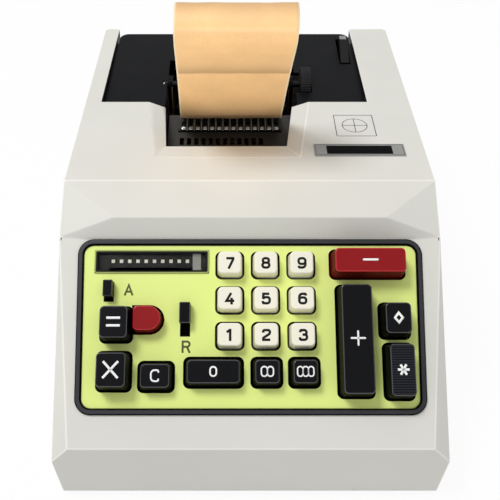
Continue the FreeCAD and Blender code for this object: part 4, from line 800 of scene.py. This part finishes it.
def reach(places):
    """Lowest and highest corner of some places."""
    return [Vector([pick(p[k] for p in places) for k in range(3)]) for pick in (min, max)]


def key_top(node):
    """Lowest and highest corner of a node's flat top, in metres of the key field's frame."""
    places = [TO_FIELD @ v.co for v in NODES[node].data.vertices]
    top = max(p.z for p in places)
    return reach([p for p in places if p.z > top - 0.02 * MM])


def in_field(x, y, z):
    return KEY_FIELD @ Matrix.Translation(Vector((x, y, z)))


# Operators
class PieceOperator(Operator):
    """Shared base: makes finished pieces by the machine's settings."""

    bl_options = {"REGISTER", "UNDO"}

    def execute(self, context):
        self.make(context.scene.adding_machine)
        return {"FINISHED"}


class ADDING_OT_stage(PieceOperator):
    """Makes the white floor, the even sky, the lamps and the camera"""

    bl_idname = "adding_machine.stage"
    bl_label = "Stage"

    def make(self, machine):
        stage, scene = machine.stage, bpy.context.scene
        self.floor(stage.floor)
        scene.world = self.sky(stage.sky)
        large = self.lamp("Large lamp", "AREA", stage.lamp, LARGE_LAMP_PLACE, (0, 0, 0))
        large.size = LARGE_LAMP_SIZE
        narrow = self.lamp("Paper lamp", "SPOT", stage.spot, PAPER_LAMP_PLACE, PAPER_LAMP_TARGET)
        narrow.spot_size = radians(PAPER_LAMP_ANGLE)
        narrow.spot_blend = PAPER_LAMP_BLEND
        lens = bpy.data.cameras.new("Camera")
        lens.lens = stage.lens
        lens.sensor_width = SENSOR_WIDTH
        lens.shift_x = stage.shift
        camera = placed("Camera", lens)
        camera.location = CAMERA_PLACE
        camera.rotation_euler = (radians(CAMERA_TILT), 0, 0)
        scene.camera = camera
        scene.view_settings.view_transform = "Standard"

    def floor(self, white_share):
        sizes = {"x_segments": 1, "y_segments": 1, "size": FLOOR_REACH}
        floor = placed("Floor", meshed("Floor", shaped(bmesh.ops.create_grid, sizes, (1, 1, 1), (0, 0, 0))))
        paint = Finish("Floor white")
        plain = paint.node("ShaderNodeBsdfDiffuse", {}, {"Color": (0.9, 0.9, 0.9)})
        white = paint.node("ShaderNodeEmission", {}, {"Color": (1, 1, 1), "Strength": 1.0})
        seen = paint.seen_ray() * white_share
        mixed = paint.node("ShaderNodeMixShader", {}, {0: seen, 1: plain, 2: white})
        floor.data.materials.append(paint.close(mixed))

    def sky(self, strength):
        world = bpy.data.worlds.new("Sky")
        world.use_nodes = True
        world.node_tree.nodes.clear()
        board = Board(world.node_tree)
        even = board.node("ShaderNodeBackground", {}, {"Color": (1, 1, 1), "Strength": strength})
        board.node("ShaderNodeOutputWorld", {}, {"Surface": even})
        return world

    def lamp(self, name, kind, watts, place, target):
        light = bpy.data.lights.new(name, kind)
        light.energy = watts
        lamp = placed(name, light)
        lamp.location = place
        lamp.rotation_euler = (Vector(target) - Vector(place)).to_track_quat("-Z", "Y").to_euler()
        return light


class ADDING_OT_housing(PieceOperator):
    """Makes the moulded housing with its rounded corners"""

    bl_idname = "adding_machine.housing"
    bl_label = "Housing"

    def make(self, machine):
        housing = machine.housing
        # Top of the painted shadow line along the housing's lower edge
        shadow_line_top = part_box("housing_shell")[0].z + 0.7 * MM
        plastic = moulded("Housing plastic", housing.plastic, 0.5, housing.grain, 0.3, shadow_line_top=shadow_line_top)
        sizes = {"corner": 8, "least": 4 * MM, "join": 0.25 * MM, "crease": 25, "edge_slot": 1, "clamp": False}
        shell = skin("Housing", "housing_shell", plastic, housing.edge, **sizes)
        # The rounded corners take a paler, glossier copy of the plastic: a painted highlight along the edges,
        # with some real gloss
        shell.data.materials.append(moulded("Housing edge", housing.shine, 0.35, housing.grain, 0.5))

        def on_the_brow(middle, normal):
            return BROW_FOOT < middle.y < BROW_TOP and abs(middle.x) < BROW_REACH

        retoned(shell, plastic, on_the_brow)
        low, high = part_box("rear_cover")

        # Walls of the rear well round the cover are painted black: painted shade where the plastic lies in
        # shade
        def painted_shade_in_well(middle, normal):
            inside = low.x - 3 * MM < middle.x < high.x + 3 * MM and middle.z < high.z - 0.5 * MM
            return inside and low.y + 1 * MM < middle.y < high.y and low.z < middle.z

        retoned(shell, enamelled("Well black", machine.field.shade, 0.6), painted_shade_in_well)


class ADDING_OT_base(PieceOperator):
    """Finishes the base pan, its feet and screws, and the mains inlet"""

    bl_idname = "adding_machine.base"
    bl_label = "Base and inlet"

    def make(self, machine):
        housing, printer = machine.housing, machine.printer
        dress(enamelled("Pan enamel", housing.pan, 0.45), "base_pan")
        dress(rubbery("Foot rubber", housing.rubber), "rubber_feet")
        dress(brushed("Screw steel", printer.steel, 0.3), "base_screws")
        skin("Mains_inlet", "power_inlet", moulded("Inlet plastic", printer.cover, 0.5), 0.4 * MM)
        dress(brushed("Pin brass", printer.brass, 0.25), "inlet_pins")


class ADDING_OT_key_field(PieceOperator):
    """Makes the bead, the green plate and its two letters, and finishes what lies under the keys"""

    bl_idname = "adding_machine.key_field"
    bl_label = "Key field"

    def make(self, machine):
        field, printer = machine.field, machine.printer
        grey = moulded("Bead plastic", field.bead, 0.36, gloss=0.3)
        bead = skin("Bead", "keyboard_bezel", grey, 0.55 * MM, corner=40, edge_slot=1, clamp=False)
        # The bead's rounded sides are painted near-black without gloss: painted shade lines along its edges
        line = moulded("Bead black", field.shade, 0.6, gloss=0.02)
        bead.data.materials.append(line)
        retoned(bead, line, lambda middle, normal: normal.dot(FIELD_UP) < BEAD_FLAT)
        lime = enamelled("Lime enamel", field.green, 0.5)
        plate = skin("Green_plate", "keyboard_plate", lime, field.rim, steps=1, clamp=False)

        # The slopes round the holes are painted black: painted shade in the gaps round the keys and sliders
        def painted_shade_round_hole(middle, normal):
            place = TO_FIELD @ middle / MM
            inside = abs(place.x) < HOLES_REACH and HOLES_LOW < place.y < HOLES_HIGH
            return inside and normal.dot(FIELD_UP) < PLATE_FLAT

        retoned(plate, enamelled("Inner black", field.shade, 0.6), painted_shade_round_hole)
        ink = printed("Olive ink", field.legend)
        top = key_top("keyboard_plate")[1].z
        for label, x, y in LETTERS:
            place = in_field(x, y, top)
            mark(f"Letter_{label}", label, field.stroke / MM, ink, place, 0.04 * MM, "keyboard_plate")
        # The guide plate under the keys is painted black so the slots read dark: painted shade
        dress(enamelled("Guide black", field.shade, 0.5), "guide_plate")
        dress(brushed("Spring steel", tinted(printer.steel, 0.25), 0.4), "key_springs")


class ADDING_OT_keys(PieceOperator):
    """Makes the twenty keys and their raised marks"""

    bl_idname = "adding_machine.keys"
    bl_label = "Keys"

    def make(self, machine):
        keys = machine.keys

        def plastic(name, tone, roughness, gloss):
            return moulded(name, tone, roughness, KEY_GRAIN, gloss)

        white, black = printed("White ink", keys.white_ink), printed("Black ink", keys.black_ink)
        cream = plastic("Cream plastic", keys.cream, 0.38, 0.4)
        # Finish of the top, the rounded edge, the sides and the mark; on black and red keys the rounded edge
        # is paler, a painted highlight, and the sides darker, painted shade
        looks = {
            "key_cream": (cream, cream, cream, black),
            "key_black": (
                plastic("Black key plastic", keys.black, 0.28, 0.16),
                plastic("Black edge", keys.shine, 0.22, 0.6),
                plastic("Black side", tinted(keys.black, 0.6), 0.5, 0.03),
                white,
            ),
            "key_crimson": (
                plastic("Crimson plastic", keys.crimson, 0.3, 0.2),
                plastic("Crimson edge", tinted(keys.crimson, 1.9), 0.22, 0.6),
                plastic("Crimson side", tinted(keys.crimson, 0.45), 0.5, 0.03),
                white,
            ),
        }
        for node in sorted(n for n in NODES if n.startswith("key_") and n != "key_springs"):
            top, edge, side, ink = looks[SLOT_OF[node]]
            key = skin(node.replace("key_", "Key_"), node, top)
            # Rounded edges take the painted highlight and steep sides the painted shade
            retoned(key, edge, lambda middle, normal: KEY_STEEP < normal.dot(FIELD_UP) < KEY_FLAT)
            retoned(key, side, lambda middle, normal: normal.dot(FIELD_UP) <= KEY_STEEP)
            if node[4:] in MARKS:
                self.mark_on(node, node[4:], ink, keys)
        self.ribs(keys, plastic("Ridge plastic", tinted(keys.black, 6), 0.4, 0.2))

    def mark_on(self, node, label, ink, keys):
        low, high = key_top(node)
        middle = (low + high) / 2
        digit = SLOT_OF[node] == "key_cream"
        base = high.z + (keys.ridge if label == "total" else 0)
        place = in_field(middle.x, middle.y - (DIGIT_DROP if digit else 0), base + keys.ink / 2)
        width = keys.stroke / MM if digit else STROKES[label]
        mark(f"Mark_{label}", label, width, ink, place, keys.ink, node)

    def ribs(self, keys, finish):
        """Ridges across the top of the long ribbed key."""
        low, high = key_top("key_total")
        pitch = (high.y - low.y) / keys.ridges
        scale = (high.x - low.x, pitch * 0.72, 2 * keys.ridge)
        first = ((low.x + high.x) / 2, low.y + pitch / 2, high.z)
        form = shaped(bmesh.ops.create_cube, {"size": 1}, scale, first, narrow=(2, 1, (0.99, 0.7, 1)))
        row("Key_ribs", meshed("Ribs", form), keys.ridges, (0, pitch, 0), finish, "key_total", KEY_FIELD)


class ADDING_OT_sliders(PieceOperator):
    """Makes the two small sliders"""

    bl_idname = "adding_machine.sliders"
    bl_label = "Sliders"

    def make(self, machine):
        keys = machine.keys
        black = moulded("Slider plastic", keys.black, 0.3, KEY_GRAIN, 0.12)
        shine = moulded("Slider edge", keys.shine, 0.22, KEY_GRAIN, 0.6)
        for node, name in (("slider_a", "Slider_A"), ("slider_r", "Slider_R")):
            slider = skin(name, node, black)
            # The rounded edges take a paler tone: a painted highlight
            retoned(slider, shine, lambda middle, normal: SLIDER_STEEP < normal.dot(FIELD_UP) < KEY_FLAT)


class ADDING_OT_indicator(PieceOperator):
    """Makes the digit indicator: tray, dotted scale, marker and clear window"""

    bl_idname = "adding_machine.indicator"
    bl_label = "Digit indicator"

    def make(self, machine):
        field = machine.field
        dark = moulded("Tray plastic", field.tray, 0.5, gloss=0.1)
        tray = skin("Indicator_tray", "indicator_frame", dark, 0.25 * MM)
        low, high = reach([TO_FIELD @ v.co for v in tray.data.vertices])
        sides = (low.x / MM + 0.3, high.x / MM - 0.3, low.y / MM + 0.3, high.y / MM - 0.3)
        MARKS["lip"] = [loop(*sides, 1.2)]
        lip = moulded("Lip plastic", field.lip, 0.4, gloss=0.2)
        mark("Tray_lip", "lip", 0.8, lip, in_field(0, 0, high.z), 0.5 * MM, "indicator_frame")
        skin("Indicator_scale", "indicator_scale", enamelled("Scale enamel", field.tray, 0.6), 0.15 * MM)
        grey = enamelled("Marker grey", linear("8F8E88"), 0.5)
        skin("Indicator_marker", "indicator_marker", grey, 0.2 * MM)
        skin("Indicator_window", "indicator_lens", clear_plastic("Clear window"), 0.15 * MM)
        self.dots(field)

    def dots(self, field):
        low, high = key_top("indicator_scale")
        first = (DOT_FIRST, (low.y + high.y) / 2 + 0.6 * MM, high.z + 0.03 * MM)
        sizes = {"x_segments": 1, "y_segments": 1, "size": DOT_HALF}
        dot = meshed("Dot", shaped(bmesh.ops.create_grid, sizes, (1, 1, 1), first))
        white = printed("Dot white", linear("DAD8C8"))
        row("Indicator_dots", dot, field.dots, (DOT_STEP, 0, 0), white, "indicator_scale", KEY_FIELD)


class ADDING_OT_print_window(PieceOperator):
    """Makes the sloped print plate and the toothed bar, and finishes the type wheels under them"""

    bl_idname = "adding_machine.print_window"
    bl_label = "Print window"

    def make(self, machine):
        printer = machine.printer
        metal = brushed("Plate metal", printer.plate, 0.45, metallic=0.6)
        plate = skin("Print_plate", "print_plate", metal, 0.15 * MM)
        # Walls of the plate's holes, the bar's front strip, the type wheels and the tie rods are painted
        # black: painted shade inside the window
        black = enamelled("Window black", machine.field.shade, 0.5)
        retoned(plate, black, lambda middle, normal: abs(normal.z) < 0.6)
        # The bar is pure white and not metallic: painted brightness for the light it misses under the paper
        bar = skin("Tear_bar", "tear_bar", brushed("Bar metal", printer.bar, 0.3, metallic=0.0))
        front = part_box("tear_bar")[0].y + 1.6 * MM
        retoned(bar, black, lambda middle, normal: middle.y < front)
        dress(black, "type_wheels", "tie_rods")
        self.fingers(brushed("Finger metal", printer.finger, 0.4, "y", 0.0))
        self.teeth(brushed("Tooth metal", printer.bar, 0.15))

    def teeth(self, finish):
        """Polished round heads along the toothed bar, one between each two fingers."""
        low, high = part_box("tear_bar")
        head = ball(1.0 * MM, (1.8, 0.8, 0.8), (TOOTH_FIRST, low.y + 0.6 * MM, high.z - 0.2 * MM))
        row("Bar_teeth", head, TEETH, (BAR_STEP, 0, 0), finish, "tear_bar")

    def fingers(self, finish):
        """Thin strips that lead the paper over the toothed bar, one between each two holes."""
        low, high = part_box("print_plate")
        first = (FINGER_FIRST, low.y + 21.5 * MM, high.z - 0.6 * MM)
        shape = {"narrow": (1, -1, (0.5, 1, 1)), "tilt": atan2(3.4, 14)}
        form = shaped(bmesh.ops.create_cube, {"size": 1}, FINGER_SIZE, first, **shape)
        row("Paper_fingers", meshed("Finger", form), FINGERS, (BAR_STEP, 0, 0), finish, "print_plate")


class ADDING_OT_paper(PieceOperator):
    """Makes the folded and curled strip and the supply roll"""

    bl_idname = "adding_machine.paper"
    bl_label = "Paper"

    def make(self, machine):
        printer = machine.printer
        kraft = kraft_paper("Tan paper", printer.paper, printer.edge)
        values = {"Width": PAPER_WIDTH, "Along": 220, "Across": 36, "Wave": printer.wave, "Finish": kraft}
        strip = grown(sheet_tree, "Paper_strip", self.line(), **values)
        thick = strip.modifiers.new("Thickness", "SOLIDIFY")
        thick.thickness = printer.sheet
        thick.offset = 0
        smoothed(strip.data, 60)
        present(flattened(strip), "paper_strip", kraft, "paper_strip")
        skin("Supply_roll", "paper_roll", kraft, 0.3 * MM)

    def line(self):
        """The paper's line as a mesh of edges, with its crease."""
        form = bmesh.new()
        places, folds = [], []
        for y, z, fold in PAPER_LINE:
            x = PAPER_MIDDLE + PAPER_LEAN * (z - PAPER_LINE[0][1])
            places.append(Vector((x, y, z)) * MM)
            folds.append(fold)
        thread(form, places, crease=folds)
        return meshed("Paper line", form)


class ADDING_OT_cover(PieceOperator):
    """Makes the black cover over the rear well"""

    bl_idname = "adding_machine.cover"
    bl_label = "Rear cover"

    def make(self, machine):
        black = moulded("Cover plastic", machine.printer.cover, 0.45, 0.02 * MM, 0.12)
        skin("Rear_cover", "rear_cover", black, 0.6 * MM)


class ADDING_OT_platen(PieceOperator):
    """Makes the platen with its thumb wheel and the frames that carry it"""

    bl_idname = "adding_machine.platen"
    bl_label = "Platen and frames"

    def make(self, machine):
        printer, housing = machine.printer, machine.housing
        skin("Platen", "platen_roller", rubbery("Platen rubber", housing.rubber), 0.5 * MM)
        dress(brushed("Dark spindle", tinted(printer.steel, 0.12), 0.4), "roll_spindle")
        skin("Platen_shaft", "platen_shaft", brushed("Dark shaft", linear("2A2B2E"), 0.3))
        low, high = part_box("platen_shaft")
        middle = (low + high) / 2
        # A pale head at the shaft's end: a painted glint where the metal end catches the light
        tip = placed("Shaft_tip", ball(1.5 * MM, (0.8, 1, 1), (low.x, middle.y, middle.z)))
        present(tip, "platen_shaft", moulded("Shaft tip", linear("E2E2DE"), 0.35))
        wheel = moulded("Thumb wheel plastic", linear("1A1B1E"), 0.45, gloss=0.25)
        skin("Thumb_wheel", "paper_knob", wheel, 0.2 * MM)
        dark = brushed("Frame steel", linear("191A1D"), 0.45, "y")
        for node in ("side_frame_left", "side_frame_right"):
            skin(node.title(), node, dark, 0.3 * MM)


class ADDING_OT_lever(PieceOperator):
    """Makes the paper release lever and its bracket"""

    bl_idname = "adding_machine.lever"
    bl_label = "Release lever"

    def make(self, machine):
        printer = machine.printer
        black = moulded("Lever plastic", printer.cover, 0.45, gloss=0.3)
        lever = skin("Release_lever", "release_lever", black, 0.5 * MM)
        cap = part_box("release_lever")[1].z - 2 * MM
        grey = moulded("Lever grey", linear("8E8F90"), 0.45, gloss=0.3)
        retoned(lever, grey, lambda middle, normal: middle.z > cap)
        dress(brushed("Bracket steel", tinted(printer.steel, 0.12), 0.4, "z"), "lever_bracket")


class ADDING_OT_plates(PieceOperator):
    """Makes the bare name plate and the square plate with its plain circle"""

    bl_idname = "adding_machine.plates"
    bl_label = "Deck plates"

    def make(self, machine):
        housing = machine.housing
        silver = brushed("Plate silver", linear("A9A9A6"), 0.4, metallic=0.5)
        skin("Name_plate", "name_plate", silver, 0.15 * MM)
        pale = moulded("Square plate plastic", housing.plastic, 0.45, housing.grain, 0.4)
        skin("Square_plate", "emblem_plate", pale, 0.15 * MM)
        black = moulded("Insert black", linear("030304"), 0.4, gloss=0.05)
        skin("Name_insert", "name_insert", black, 0.1 * MM)
        grey = printed("Line grey", linear("4A4A49"))
        for label in ("square", "ring", "cross", "frame"):
            node = "name_plate" if label == "frame" else "emblem_plate"
            low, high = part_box(node)
            middle = (low + high) / 2
            place = Matrix.Translation((middle.x, middle.y, high.z))
            mark(f"Line_{label}", label, STROKES[label], grey, place, 0.06 * MM, node)


class ADDING_OT_drive(PieceOperator):
    """Finishes the motor, the gears and the ribbon spools"""

    bl_idname = "adding_machine.drive"
    bl_label = "Drive and ribbon"

    def make(self, machine):
        printer = machine.printer
        dress(brushed("Gear steel", printer.steel, 0.35), "drive_gear", "motor_pinion")
        dress(enamelled("Motor grey", linear("7C7F82"), 0.45), "drive_motor", "motor_mount")
        dress(moulded("Spool plastic", printer.cover, 0.4), "ribbon_spool_left", "ribbon_spool_right")


OPERATORS = PieceOperator.__subclasses__()


class ADDING_PT_panel(Panel):
    """Lists the pieces and their settings"""

    bl_idname = "ADDING_PT_panel"
    bl_label = "Adding machine"
    bl_space_type = "VIEW_3D"
    bl_region_type = "UI"
    bl_category = "Adding machine"

    def draw(self, context):
        for group in MachineSettings.__annotations__:
            box = self.layout.box()
            box.label(text=group.title())
            settings = getattr(context.scene.adding_machine, group)
            for name in settings.__annotations__:
                box.prop(settings, name)
        for operator in OPERATORS:
            self.layout.operator(operator.bl_idname)


def register():
    for group in (*SETTINGS, *OPERATORS, ADDING_PT_panel):
        bpy.utils.register_class(group)
    Scene.adding_machine = PointerProperty(type=MachineSettings)


def unregister():
    del Scene.adding_machine
    for group in (ADDING_PT_panel, *reversed(OPERATORS), *reversed(SETTINGS)):
        bpy.utils.unregister_class(group)


def main():
    register()
    for operator in OPERATORS:
        getattr(bpy.ops.adding_machine, operator.bl_idname.split(".")[1])()


if __name__ == "__main__":
    main()
